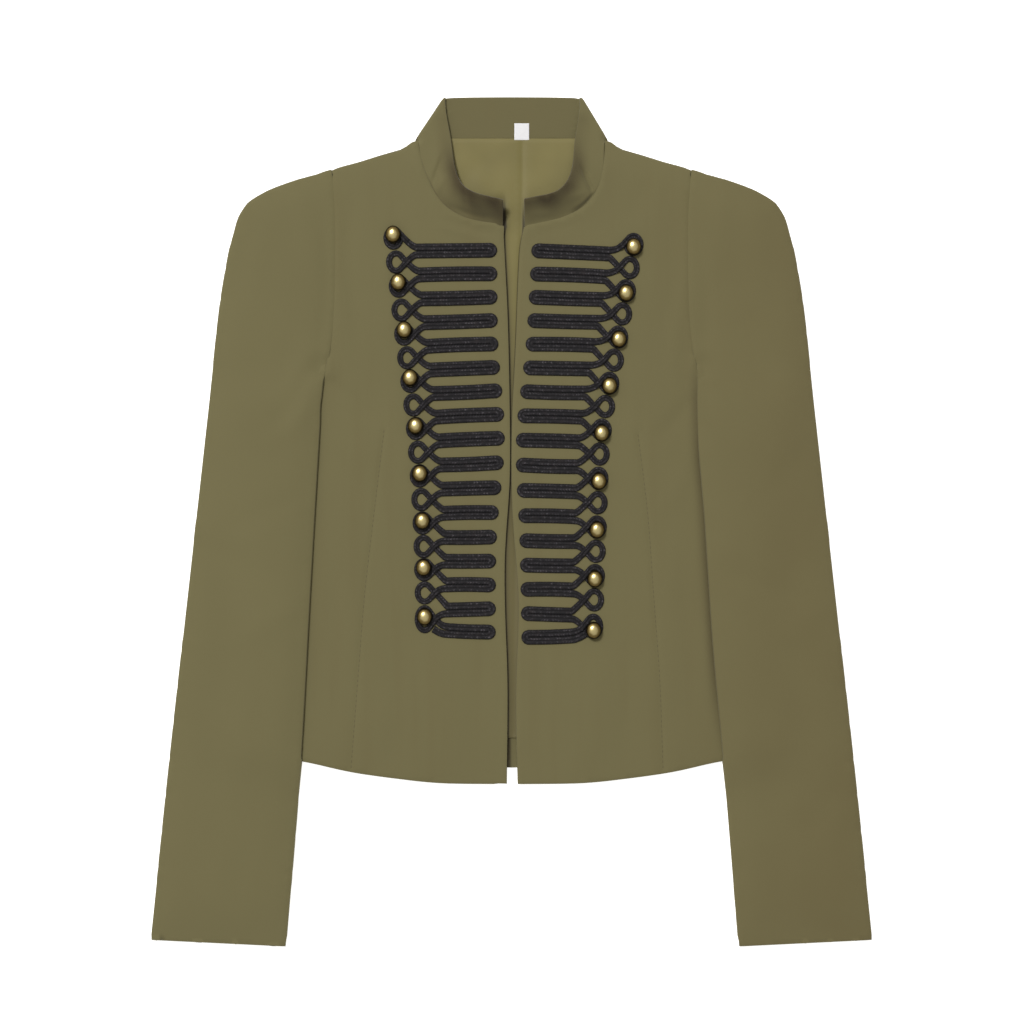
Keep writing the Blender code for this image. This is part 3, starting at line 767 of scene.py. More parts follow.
def places_of(mesh: bpy.types.Mesh) -> np.ndarray:
    """A mesh's points in metres, one a row.

    Args:
        mesh: the mesh.

    Returns:
        An array of three columns.
    """
    places = np.empty(len(mesh.vertices) * 3)
    mesh.vertices.foreach_get("co", places)
    return places.reshape(-1, 3)


def boundary_loop(bm: bmesh.types.BMesh) -> list[bmesh.types.BMVert]:
    """The open edge's points in order round a sheet.

    Args:
        bm: the sheet.

    Returns:
        Its edge's points.
    """
    before = next(edge for edge in bm.edges if edge.is_boundary)
    loop = [before.verts[0]]
    current = before.verts[1]
    while current is not loop[0]:
        loop.append(current)
        before = next(edge for edge in current.link_edges if edge.is_boundary and edge is not before)
        current = before.other_vert(current)
    return loop


def lay_map(mesh: bpy.types.Mesh, name: str, values: np.ndarray) -> None:
    """Lays a map of two numbers a point.

    Args:
        mesh: the mesh.
        name: the map's name.
        values: an array of two columns, one row a point.
    """
    corners = np.empty(len(mesh.loops), int)
    mesh.loops.foreach_get("vertex_index", corners)
    layer = mesh.uv_layers.get(name) or mesh.uv_layers.new(name=name)
    layer.data.foreach_set("uv", values[corners].ravel().astype(np.float32))
    mesh.uv_layers.active = layer
    layer.active_render = True


def map_shade(mesh: bpy.types.Mesh, shade: Callable[[np.ndarray], np.ndarray]) -> None:
    """Lays a map of one number a place, such as how much painted shade the cloth takes, or of two.

    Args:
        mesh: the mesh.
        shade: gives the numbers for places in millimetres.
    """
    shades = shade(places_of(mesh) / MM)
    if shades.ndim == 1:
        shades = np.stack([shades, np.zeros(len(shades))], axis=1)
    lay_map(mesh, "shade", shades)


def stand_for(piece: bpy.types.Object, node: str) -> None:
    """Puts a piece in its solid's place: it rides with the root and the solid is hidden.

    Args:
        piece: the piece.
        node: the solid's name.
    """
    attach(piece, "root")
    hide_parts(node)


# Cloth, with the sizes that all its shells share, in millimetres

FLOOR_CLEARANCE = 0.25
SEAM_TURN = 1.5
GROOVE_HALF = 1.3
GROOVE_TO_EDGE = 0.8
STITCH_TROUGH = 0.8
SEAM_HOLLOW = 6.0
SEAM_HOLLOW_DEPTH = 0.22
FLAT_RIM = 9.0
SETTLED_RIM = 3.0
SETTLE_SHARE = 0.7
EDGE_ANGLES = (50, 10, -30, -75)
EDGE_BULGE = 0.55


@dataclass
class ClothShell:
    """A thin cloth shell on one solid's upper side, finer and softer than the solid.

    Attributes:
        node: the solid that it stands for.
        side: the half that its creases lie on.
        spacing: distance between its points, in millimetres.
        creases: its soft folds.
        grooves: stitched lines, each with a narrow trough along it.
        groove_depth: how deep that trough is.
        turn: how far its edge turns down, given places and heights, in millimetres.
        tuck: how its edge moves into a seam, given places and the directions out of it, in millimetres.
        wall: its thickness.
        settle: how many times its heights are averaged.
        ripple: height of the cloth's faint unevenness.
        shade: how much painted shade the cloth takes in its folds, given places, from 0 to 1.
        lift: how far the cloth stands up, given places, in millimetres.
        outline: its edge in plan, once it is built.
    """

    node: str
    side: Side
    spacing: float = 4.0
    creases: Sequence[Crease] = ()
    grooves: Sequence[Line] = ()
    groove_depth: float = 0.45
    turn: Callable[[np.ndarray, np.ndarray], np.ndarray] = lambda places, tops: np.full(len(places), 1.3)
    tuck: Callable[[np.ndarray, np.ndarray], np.ndarray] = lambda places, outward: outward * 0.0
    wall: float = 0.9
    settle: int = 14
    ripple: float = 0.0
    shade: Callable[[np.ndarray], np.ndarray] | None = None
    lift: Callable[[np.ndarray], np.ndarray] = lambda places: np.zeros(len(places))
    outline: Line = field(default_factory=list)

    def upper_side(self) -> tuple[BVHTree, np.ndarray]:
        """Reads the solid's upper side.

        Returns:
            A search tree of it and its outline's points in millimetres.
        """
        bm = bmesh.new()
        bm.from_mesh(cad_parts[self.node].data)
        bmesh.ops.remove_doubles(bm, verts=bm.verts[:], dist=1e-6)
        bm.normal_update()
        low = [face for face in bm.faces if face.normal.z < 0.2]
        bmesh.ops.delete(bm, geom=low, context="FACES")
        tree = BVHTree.FromBMesh(bm)
        loop = boundary_loop(bm)
        points = np.array([vert.co.xy[:] for vert in loop]) / MM
        bm.free()
        return tree, points if signed_area(points) > 0 else points[::-1]

    def heights(self, tree: BVHTree, places: np.ndarray) -> np.ndarray:
        """Height of the solid's upper side at each place, in millimetres.

        Args:
            tree: a search tree of the upper side.
            places: places in plan, in millimetres.

        Returns:
            One height a place.
        """
        found = []
        for x, y in places:
            hit = tree.ray_cast(Vector((x * MM, y * MM, 1.0)), Vector((0, 0, -1)))[0]
            if hit is None:
                hit = tree.find_nearest(Vector((x * MM, y * MM, 0.005)))[0]
            found.append(hit.z / MM)
        return np.array(found)

    def grid(self, groove_lines: list[Line]) -> np.ndarray:
        """Staggered places inside the outline, clear of it and of the grooves.

        Args:
            groove_lines: the grooves' lines.

        Returns:
            An array of places, one a row.
        """
        low = np.min(self.outline, axis=0)
        high = np.max(self.outline, axis=0)
        rise = self.spacing * math.sqrt(3) / 2
        rows = np.arange(low[1], high[1], rise)
        columns = np.arange(low[0], high[0], self.spacing)
        x, y = np.meshgrid(columns, rows)
        x = x + (np.arange(len(rows)) % 2 * self.spacing / 2)[:, None]
        places = np.stack([x.ravel(), y.ravel()], axis=1)
        places = places[within(self.outline, places)]
        ring = self.outline + self.outline[:1]
        places = places[distances(ring, places) > self.spacing * 0.55]
        for line in groove_lines:
            places = places[distances(line, places) > self.spacing * 0.5]
        return places

    def build(self, name: str, finish: bpy.types.Material) -> bpy.types.Object:
        """Makes the shell.

        Args:
            name: the piece's name.
            finish: its material.

        Returns:
            The piece.
        """
        tree, loop = self.upper_side()
        edge = np.array(soften_loop(loop, self.spacing))
        edge += self.tuck(edge, outward_of(edge))
        self.outline = [tuple(place) for place in edge]
        ring = self.outline + self.outline[:1]
        lines: list[Line] = []
        for groove in self.grooves:
            for away in (-GROOVE_HALF, 0.0, GROOVE_HALF):
                line = np.array(offset_line(groove, away))
                keep = within(self.outline, line) & (distances(ring, line) > GROOVE_TO_EDGE)
                lines.append([tuple(place) for place in line[keep]])
        lines = [line for line in lines if len(line) > 1]
        places = [tuple(place) for place in self.outline]
        edges = [(i, (i + 1) % len(places)) for i in range(len(places))]
        for line in lines:
            edges += [(len(places) + i, len(places) + i + 1) for i in range(len(line) - 1)]
            places += line
        places += [tuple(place) for place in self.grid(lines)]
        coords, _, faces, *_ = delaunay_2d_cdt([Vector(place) for place in places], edges, [], 0, 1e-4)
        spots = np.array([coord[:] for coord in coords])
        triangles = np.array([face[:] for face in faces])
        middles = spots[triangles].mean(axis=1)
        triangles = triangles[within(self.outline, middles)]
        heights = self.settled(self.heights(tree, spots), triangles, distances(ring, spots))
        heights += self.folds(spots, ring)
        return self.mesh(name, finish, spots, heights, triangles)

    def settled(self, heights: np.ndarray, triangles: np.ndarray, from_edge: np.ndarray) -> np.ndarray:
        """Averages the heights with their neighbours', so that no facet of the solid shows.

        Args:
            heights: one height a place.
            triangles: the shell's triangles.
            from_edge: each place's distance from the edge.

        Returns:
            The averaged heights.
        """
        ends = np.concatenate([triangles[:, [0, 1]], triangles[:, [1, 2]], triangles[:, [2, 0]]])
        ends = np.concatenate([ends, ends[:, ::-1]])
        count = np.maximum(np.bincount(ends[:, 0], minlength=len(heights)), 1)
        share = np.clip(from_edge / SETTLED_RIM, 0.0, 1.0)
        for _ in range(self.settle):
            mean = np.bincount(ends[:, 0], weights=heights[ends[:, 1]], minlength=len(heights)) / count
            heights = heights + share * SETTLE_SHARE * (mean - heights)
        return heights

    def folds(self, spots: np.ndarray, ring: Line) -> np.ndarray:
        """Creases, grooves and the faint unevenness of pressed cloth.

        Args:
            spots: the shell's places.
            ring: its closed outline.

        Returns:
            How far each place is moved up.
        """
        inner = fade(0.0, FLAT_RIM, distances(ring, spots))
        moved = crease_height(self.creases, self.side, spots) * inner
        x, y = spots.T
        waves = np.sin(x / 17.0 + 2.1 * np.sin(y / 43.0)) * np.sin(y / 29.0 + 1.3 * np.sin(x / 31.0))
        moved += self.ripple * waves * inner + self.lift(spots)
        for groove in self.grooves:
            away = distances(groove, spots)
            moved -= self.groove_depth * np.exp(-((away / STITCH_TROUGH) ** 2))
            moved -= SEAM_HOLLOW_DEPTH * np.exp(-((away / SEAM_HOLLOW) ** 2))
        return moved

    def mesh(
        self,
        name: str,
        finish: bpy.types.Material,
        spots: np.ndarray,
        heights: np.ndarray,
        triangles: np.ndarray,
    ) -> bpy.types.Object:
        """Makes the object, with its edge turned down round a small curve.

        Args:
            name: the piece's name.
            finish: its material.
            spots: its places in plan.
            heights: their heights.
            triangles: the places that each triangle joins.

        Returns:
            The piece.
        """
        bm = bmesh.new()
        verts = [bm.verts.new((x, y, z)) for (x, y), z in zip(spots, heights)]
        for triangle in triangles:
            bm.faces.new([verts[i] for i in triangle])
        bm.normal_update()
        if sum(face.normal.z for face in bm.faces) < 0:
            bmesh.ops.reverse_faces(bm, faces=bm.faces[:])
        bmesh.ops.delete(bm, geom=[vert for vert in bm.verts if not vert.link_faces], context="VERTS")
        loop = boundary_loop(bm)
        plan = np.array([vert.co.xy[:] for vert in loop])
        tops = np.array([vert.co.z for vert in loop])
        drop = self.turn(plan, tops)
        outward = outward_of(plan)
        last = loop
        for angle in EDGE_ANGLES:
            turn = math.radians(angle)
            reach = (drop / 2 * EDGE_BULGE * math.cos(turn))[:, None]
            place = plan + outward * reach
            high = tops - drop / 2 * (1 - math.sin(turn))
            row = [bm.verts.new((px, py, pz)) for (px, py), pz in zip(place, high)]
            for i in range(len(loop)):
                j = (i + 1) % len(loop)
                bm.faces.new((last[i], last[j], row[j], row[i]))
            last = row
        bmesh.ops.recalc_face_normals(bm, faces=bm.faces[:])
        bm.normal_update()
        if sum(face.normal.z * face.calc_area() for face in bm.faces) < 0:
            bmesh.ops.reverse_faces(bm, faces=bm.faces[:])
        bmesh.ops.scale(bm, vec=(MM, MM, MM), verts=bm.verts[:])
        data = mesh_from(bm, name)
        if self.shade:
            map_shade(data, self.shade)
        piece = new_object(name, data, finish)
        wall = piece.modifiers.new("Wall", "SOLIDIFY")
        wall.thickness = self.wall * MM
        wall.offset = -1.0
        return piece

    def dress(
        self, name: str, finish: bpy.types.Material
    ) -> bpy.types.Object:
        """Makes the shell in its solid's place and logs how many points it has.

        Args:
            name: the piece's name.
            finish: its material.

        Returns:
            The piece.
        """
        piece = self.build(name, finish)
        stand_for(piece, self.node)
        LOG.info("%s: %d points", name, len(piece.data.vertices))
        return piece


@dataclass
class Front:
    """One front, with its waist dart, soft folds and turned edges. Sizes are in millimetres.

    Attributes:
        side: the half that it lies on.
        dart: its dart, from the point to the hem.
        sleeve_fold: the sleeve's folded edge that lies over it, from the armhole down.
        hollow_shade: how strong the painted shade of that edge is on the cloth beside it, from 0 to 1.
        creases: its soft folds.
        hollow: how far that painted shade reaches.
        spacing: distance between the shell's points.
        neck: where the shoulder line starts, at the neck.
        shoulder_fall: how far that line falls for each millimetre out.
        neck_low: height of the neck edge's lowest place.
        neck_top: height where the neck edge ends in its corner.
        edge_out: how far out the free front edge lies at most.
        edge_top: height where that edge ends.
        collar_lap: how far the neck edge reaches under the collar.
        corner_move: how far its corner moves in and up along the shoulder.
        edge_draw: how far the right free edge is drawn in.
        crown_draw: how far the shoulder edge is drawn in.
        free_edge_rise: how far the right front's free edge stands up off the lining.
        seam_out: the armhole seam's distance from the centre line.
        seam_reach: how far beside the seam the cloth is raised.
        seam_rise: how far it is raised there.
        outline: its edge in plan, once it is built.
    """

    side: Side
    dart: Places
    sleeve_fold: Places
    hollow_shade: float
    creases: tuple[Crease, ...]
    hollow: float = 4.6
    spacing: float = 3.6
    neck: Spot = Spot(76.4, 304.8)
    shoulder_fall: float = 0.347
    neck_low: float = 233.5
    neck_top: float = 303.2
    edge_out: float = 13.0
    edge_top: float = 232.0
    collar_lap: float = 1.8
    corner_move: Spot = Spot(3.0, 0.8)
    edge_draw: float = 0.5
    crown_draw: float = 1.2
    free_edge_rise: float = 0.7
    seam_out: float = 149.0
    seam_reach: float = 9.0
    seam_rise: float = 1.8
    outline: Line = field(default_factory=list)

    def shoulder_up(self, out: np.ndarray) -> np.ndarray:
        """Height of the shoulder line at each distance from the centre line."""
        return self.neck.up - (out - self.neck.out) * self.shoulder_fall

    def turn(self, places: np.ndarray, tops: np.ndarray) -> np.ndarray:
        """How far the edge turns down: over the shoulder to the surface, elsewhere as a seam or a hem.

        Args:
            places: places in plan, in millimetres.
            tops: their heights.

        Returns:
            One distance a place.
        """
        x, y = np.abs(places[:, 0]), places[:, 1]
        on_shoulder = (x > 75.5) & (y > self.shoulder_up(x) - 2.5)
        return np.where(on_shoulder, tops - FLOOR_CLEARANCE, SEAM_TURN)

    def tuck(self, places: np.ndarray, outward: np.ndarray) -> np.ndarray:
        """How the neck edge reaches under the collar, and its corner along the shoulder.

        Args:
            places: places in plan, in millimetres.
            outward: the direction out of the outline at each.

        Returns:
            One move a place.
        """
        x, y = np.abs(places[:, 0]), places[:, 1]
        on_neck = (x > 11.0) & (x < 78.0) & (y > self.neck_low) & (y < self.neck_top)
        corner = (x < 78.5) & (y >= self.neck_top)
        free_edge = (places[:, 0] < 0) & (x < self.edge_out) & (y < self.edge_top)
        on_shoulder = (y > self.shoulder_up(x) - 6.0) * fade(80.0, 87.0, x) * self.crown_draw
        lap = np.where(on_neck, self.collar_lap, 0.0)
        moves = outward * (lap - np.where(free_edge, self.edge_draw, 0.0) - on_shoulder)[:, None]
        inward, upward = self.corner_move
        moves[corner, 0] = -np.sign(places[corner, 0]) * inward
        moves[corner, 1] = upward
        return moves

    def lift(self, places: np.ndarray) -> np.ndarray:
        """How far the right front's free edge stands up off the lining, and both up to the sleeve's seam.

        Args:
            places: places in plan, in millimetres.

        Returns:
            One height a place.
        """
        x, y = places[:, 0], places[:, 1]
        below_neck = 1 - fade(200.0, self.edge_top, y)
        free_edge = self.free_edge_rise * fade(-9.5, -2.0, x) * (x < 0) * below_neck
        to_seam = np.exp(-(((np.abs(x) - self.seam_out) / self.seam_reach) ** 2))
        return free_edge + self.seam_rise * to_seam * level_with_front(places)

    def shade(self, spots: np.ndarray) -> np.ndarray:
        """How much painted shade the cloth takes in the hollow beside the sleeve.

        Args:
            spots: places, in millimetres.

        Returns:
            One share a place, from 0 to 1.
        """
        x, y = self.side.value * spots[:, 0], spots[:, 1]
        away = distances(list(self.sleeve_fold), np.stack([x, y], axis=1))
        beside = np.exp(-((away / self.hollow) ** 2))
        strength = self.hollow_shade * fade(140.0, 90.0, y) * fade(-200.0, -100.0, y)
        return np.clip(beside * strength, 0.0, 1.0)

    def free_edge(self) -> Line:
        """The free front edge's places, from the hem up, once the front is built."""
        run = [(x, y) for x, y in self.outline if abs(x) < self.edge_out and y < self.edge_top + 1.0]
        return sorted(run, key=lambda place: place[1])

    def dart_line(self) -> Line:
        """The dart's line in plan."""
        return smooth(on_side(self.side, self.dart), 4.0)

    def build(self, suiting: bpy.types.Material) -> bpy.types.Object:
        """Makes the front and keeps its outline.

        Args:
            suiting: the cloth's material.

        Returns:
            The piece.
        """
        shell = ClothShell(
            node=f"front_{self.side.word}",
            side=self.side,
            spacing=self.spacing,
            creases=self.creases,
            grooves=[self.dart_line()],
            turn=self.turn,
            tuck=self.tuck,
            ripple=0.10,
            shade=self.shade,
            lift=self.lift,
        )
        piece = shell.dress(f"front_{self.side.word}_shell", suiting)
        self.outline = shell.outline
        return piece


FRONTS = (
    Front(
        side=Side.RIGHT,
        dart=((102, 73.2), (109.6, 10), (118, -62.8), (122, -114), (128.6, -199)),
        sleeve_fold=((151.6, 113), (154, 75.6), (162, -62.8), (169.2, -191.6)),
        hollow_shade=0.10,
        creases=(
            Crease((50, 239), (14, 230.5), 1.5, 2),
            Crease((60, 236), (26, 226.5), -0.7, 2.8),
            Crease((128, 262), (123, 150), 0.7, 8),
            Crease((137, 205), (132, 120), -0.5, 6),
            Crease((146, 112), (112, 78), 0.7, 6),
            Crease((146, 96), (108, 40), -0.6, 8),
            Crease((150, 60), (120, 20), 0.5, 7),
            Crease((98, 60), (88, 118), -0.5, 8),
            Crease((140, -40), (134, -160), 0.6, 10),
            Crease((60, -110), (48, -200), -0.7, 14),
            Crease((92, -120), (96, -196), 0.5, 9),
            Crease((20, -100), (24, -200), 0.4, 8),
            Crease((112, 270), (90, 244), 0.4, 7),
        ),
    ),
    Front(
        side=Side.LEFT,
        dart=((101.2, 70), (108.8, 8), (114, -62.8), (118.4, -122), (121.4, -199)),
        sleeve_fold=((147.8, 140), (148.4, 97), (149.4, 63.6), (154.2, 6), (161.4, -101.2), (168, -192)),
        hollow_shade=0.55,
        creases=(
            Crease((56, 240), (20, 229.5), 0.4, 2.6),
            Crease((126, 262), (122, 150), 0.6, 9),
            Crease((138, 190), (134, 90), -0.5, 6),
            Crease((147, 100), (116, 64), 0.7, 6.5),
            Crease((147, 70), (124, 10), -0.5, 8),
            Crease((96, 62), (92, 120), -0.6, 7),
            Crease((138, -30), (142, -150), 0.6, 10),
            Crease((70, -112), (58, -198), -0.6, 13),
            Crease((96, -130), (92, -198), 0.5, 9),
            Crease((26, -104), (18, -200), 0.4, 9),
            Crease((108, 272), (92, 240), 0.5, 8),
        ),
    ),
)


def level_with_front(places: np.ndarray) -> np.ndarray:
    """How far sleeve and front come to one level below the armhole seam, from 0 to 1.

    Args:
        places: places in plan, in millimetres.

    Returns:
        One share a place.
    """
    y = places[:, 1]
    right = np.clip((y - 112.0) / 7.0, 0.0, 1.0)
    left = fade(48.0, 82.0, y) * (0.68 + 0.32 * fade(112.0, 120.0, y))
    return fade(138.0, 124.0, y) * np.where(places[:, 0] < 0, right, left)


@dataclass
class Sleeve:
    """One top sleeve, folded down to the layer under it along both long edges. Sizes are in millimetres.

    Attributes:
        side: the half that it lies on.
        creases: its soft folds.
        scye_up: height of the armhole's lowest visible point.
        seam_out: the armhole seam's greatest distance from the centre line.
        cuff_up: height below which the edge is the cuff.
        front_high: how high the front lies that the inner fold rests on.
        seam_fall: how far the cloth comes down to the front beside the seam.
        seam_reach: how far beside the seam it does.
        lap: how far the armhole edge reaches over the front's, at the top and more at the bottom.
        bulge: how far the right sleeve's fold bulges below the armhole.
        bulge_up: height of that bulge.
        bulge_reach: how far it reaches up and down.
        crown_draw: how far the crown's edge is drawn in.
    """

    side: Side
    creases: tuple[Crease, ...]
    scye_up: float = 121.5
    seam_out: float = 149.8
    cuff_up: float = -333.0
    front_high: float = 3.3
    seam_fall: float = 2.6
    seam_reach: float = 9.0
    lap: tuple[float, float] = (0.35, 0.6)
    bulge: float = 1.3
    bulge_up: float = 104.0
    bulge_reach: float = 10.0
    crown_draw: float = 0.8

    def turn(self, places: np.ndarray, tops: np.ndarray) -> np.ndarray:
        """How far the edge turns down: to the layer beneath at the folds, a hem at the cuff, a seam above.

        Args:
            places: places in plan, in millimetres.
            tops: their heights.

        Returns:
            One distance a place.
        """
        x, y = np.abs(places[:, 0]), places[:, 1]
        at_seam = fade(self.scye_up - 12.0, self.scye_up + 3.0, y) * (x < 150.0)
        folded = np.maximum(tops - self.beneath(x, y) - FLOOR_CLEARANCE, SEAM_TURN)
        return np.where(y < self.cuff_up, SEAM_TURN, folded + (SEAM_TURN - folded) * at_seam)

    def tuck(self, places: np.ndarray, outward: np.ndarray) -> np.ndarray:
        """How the armhole edge reaches over the front's, and how its crown draws in at the shoulder.

        Args:
            places: places in plan, in millimetres.
            outward: the direction out of the outline at each.

        Returns:
            One move a place.
        """
        x, y = np.abs(places[:, 0]), places[:, 1]
        on_seam = (x < self.seam_out) & (y > self.scye_up - 4.5)
        reach = self.lap[0] + self.lap[1] * (1 - fade(self.scye_up - 2.0, self.scye_up + 45.0, y))
        below = (x < 156.0) & (places[:, 0] < 0) & (y > 70.0)
        bulge = self.bulge * np.exp(-(((y - self.bulge_up) / self.bulge_reach) ** 2)) * below
        crown = self.crown_draw * fade(215.0, 235.0, y) * fade(self.seam_out, 156.0, x)
        return outward * np.where(on_seam, reach, bulge - crown)[:, None]

    def lift(self, places: np.ndarray) -> np.ndarray:
        """How far the sleeve comes down to the front beside the seam."""
        away = np.maximum(np.abs(places[:, 0]) - 151.0, 0.0)
        return -self.seam_fall * np.exp(-((away / self.seam_reach) ** 2)) * level_with_front(places)

    def beneath(self, x: np.ndarray, y: np.ndarray) -> np.ndarray:
        """Height of what the fold lies on: the front beside its inner edge, else the surface."""
        on_front = (x < 180.0) & (y < 125.0) & (y > -190.0)
        return np.where(on_front, self.front_high, 0.0)

    def build(self, suiting: bpy.types.Material) -> None:
        """Makes the top sleeve and gives the under sleeve its finish.

        Args:
            suiting: the cloth's material.
        """
        under = f"under_sleeve_{self.side.word}"
        shell = ClothShell(
            node=f"top_sleeve_{self.side.word}",
            side=self.side,
            creases=self.creases,
            turn=self.turn,
            tuck=self.tuck,
            lift=self.lift,
            settle=22,
            ripple=0.12,
        )
        shell.dress(f"top_sleeve_{self.side.word}_shell", suiting)
        finish_node(under, suiting)


SLEEVES = (
    Sleeve(
        side=Side.RIGHT,
        creases=(
            Crease((168, 270), (160, 190), -0.7, 10),
            Crease((150, 232), (153, 140), 0.6, 5),
            Crease((206, 236), (218, 176), 0.6, 7),
            Crease((158, 126), (186, 78), 0.8, 7),
            Crease((160, 96), (196, 60), -0.6, 8),
            Crease((176, 150), (184, 60), 0.5, 9),
            Crease((168, 20), (226, -6), 0.5, 9),
            Crease((246, -20), (196, -48), 0.6, 10),
            Crease((172, -70), (220, -100), -0.6, 11),
            Crease((196, -120), (206, -230), 0.5, 12),
            Crease((256, -150), (232, -210), 0.5, 9),
            Crease((226, -250), (236, -325), -0.5, 13),
            Crease((190, -260), (204, -330), 0.4, 9),
        ),
    ),
    Sleeve(
        side=Side.LEFT,
        creases=(
            Crease((170, 268), (162, 196), -0.7, 10),
            Crease((151, 220), (152, 130), 0.7, 5.5),
            Crease((208, 232), (216, 170), 0.5, 8),
            Crease((156, 116), (182, 70), 0.8, 7),
            Crease((156, 74), (176, 10), 0.6, 7),
            Crease((184, 130), (190, 50), -0.5, 9),
            Crease((236, 60), (206, 20), 0.5, 9),
            Crease((170, -40), (222, -62), 0.6, 10),
            Crease((252, -70), (208, -104), -0.5, 11),
            Crease((200, -140), (210, -240), 0.5, 12),
            Crease((262, -190), (240, -250), 0.5, 9),
            Crease((230, -262), (240, -326), -0.5, 12),
        ),
    ),
)


def finish_node(node: str, finish: bpy.types.Material) -> None:
    """Gives a solid that stays shown its finish.

    Args:
        node: the solid's node.
        finish: the material.
    """
    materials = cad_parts[node].data.materials
    materials.clear()
    materials.append(finish)


@dataclass
class BackAndLining:
    """The back, its lining with a centre pleat, and the blank label. Sizes are in millimetres.

    Attributes:
        reach: how far the shadow beside a front's edge reaches over the lining.
        pleat: the pleat's line.
        collar_end: the collar's right free end, in plan, which carries on the right front's edge.
        neck_lap: how far the lining reaches under the collar's back.
        creases: its soft folds.
        label_fold: the label's soft fold, which lifts its free end off the collar.
    """

    reach: float = 6.5
    pleat: Places = ((8.6, 304), (8.6, 262), (7.4, 200), (4, 60), (2, -172))
    collar_end: Places = ((-5.2, 234), (-6, 246), (-6.8, 262))
    neck_lap: float = 2.0
    creases: tuple[Crease, ...] = (
        Crease((-30, 285), (-12, 236), -0.3, 6),
        Crease((-44, 262), (-20, 292), 0.25, 7),
        Crease((40, 258), (20, 290), 0.25, 7),
        Crease((13, 268), (12, 230), -0.3, 3),
        Crease((2, 270), (0, 222), 0.35, 4),
        Crease((-6, 262), (-8, 236), 0.8, 3),
    )
    label_fold: Crease = Crease((8, 305), (8.6, 320), -0.25, 4)

    def build(self, edges: dict[Side, Line], lining: bpy.types.Material, tape: bpy.types.Material) -> None:
        """Makes the lining and the label and finishes the back.

        Args:
            edges: the fronts' free edges, in plan, from the hem up.
            lining: the lining's material.
            tape: the label's material.
        """
        finish_node("back", Suiting().material("olive_suiting_back", back=True))
        shell = ClothShell(
            node="back_lining",
            side=Side.LEFT,
            spacing=3.5,
            creases=self.creases,
            grooves=[smooth(self.pleat, 4.0)],
            groove_depth=0.42,
            turn=lambda places, tops: np.full(len(places), 0.8),
            tuck=lambda places, outward: outward * np.where(places[:, 1] > 300, self.neck_lap, 0.0)[:, None],
            wall=0.6,
            shade=lambda spots: self.beside(edges, spots),
        )
        shell.dress("back_lining_shell", lining)
        label = ClothShell(
            node="label",
            side=Side.LEFT,
            spacing=1.2,
            creases=(self.label_fold,),
            turn=lambda places, tops: np.full(len(places), 0.45),
            wall=0.25,
            settle=2,
        )
        label.dress("label_tape", tape)

    def beside(self, edges: dict[Side, Line], spots: np.ndarray) -> np.ndarray:
        """How far the lining is from each front's edge, as a share of the shadow's reach.

        Args:
            edges: the fronts' free edges, in plan, from the hem up.
            spots: places, in millimetres.

        Returns:
            Two numbers a place, for the right and the left front.
        """
        shares = []
        for side in Side:
            line = edges[side] + (list(self.collar_end) if side is Side.RIGHT else [])
            edge_out = np.interp(spots[:, 1], [place[1] for place in line], [place[0] for place in line])
            shares.append(-side.value * (spots[:, 0] - edge_out) / self.reach)
        return np.stack(shares, axis=1)


class CollarEnd(NamedTuple):
    """One front end of the collar, in millimetres: its folds, its free edge and how much painted shade it
    takes down at its seam.
    """

    creases: tuple[Crease, ...]
    free_edge: Places
    seam_shade: float


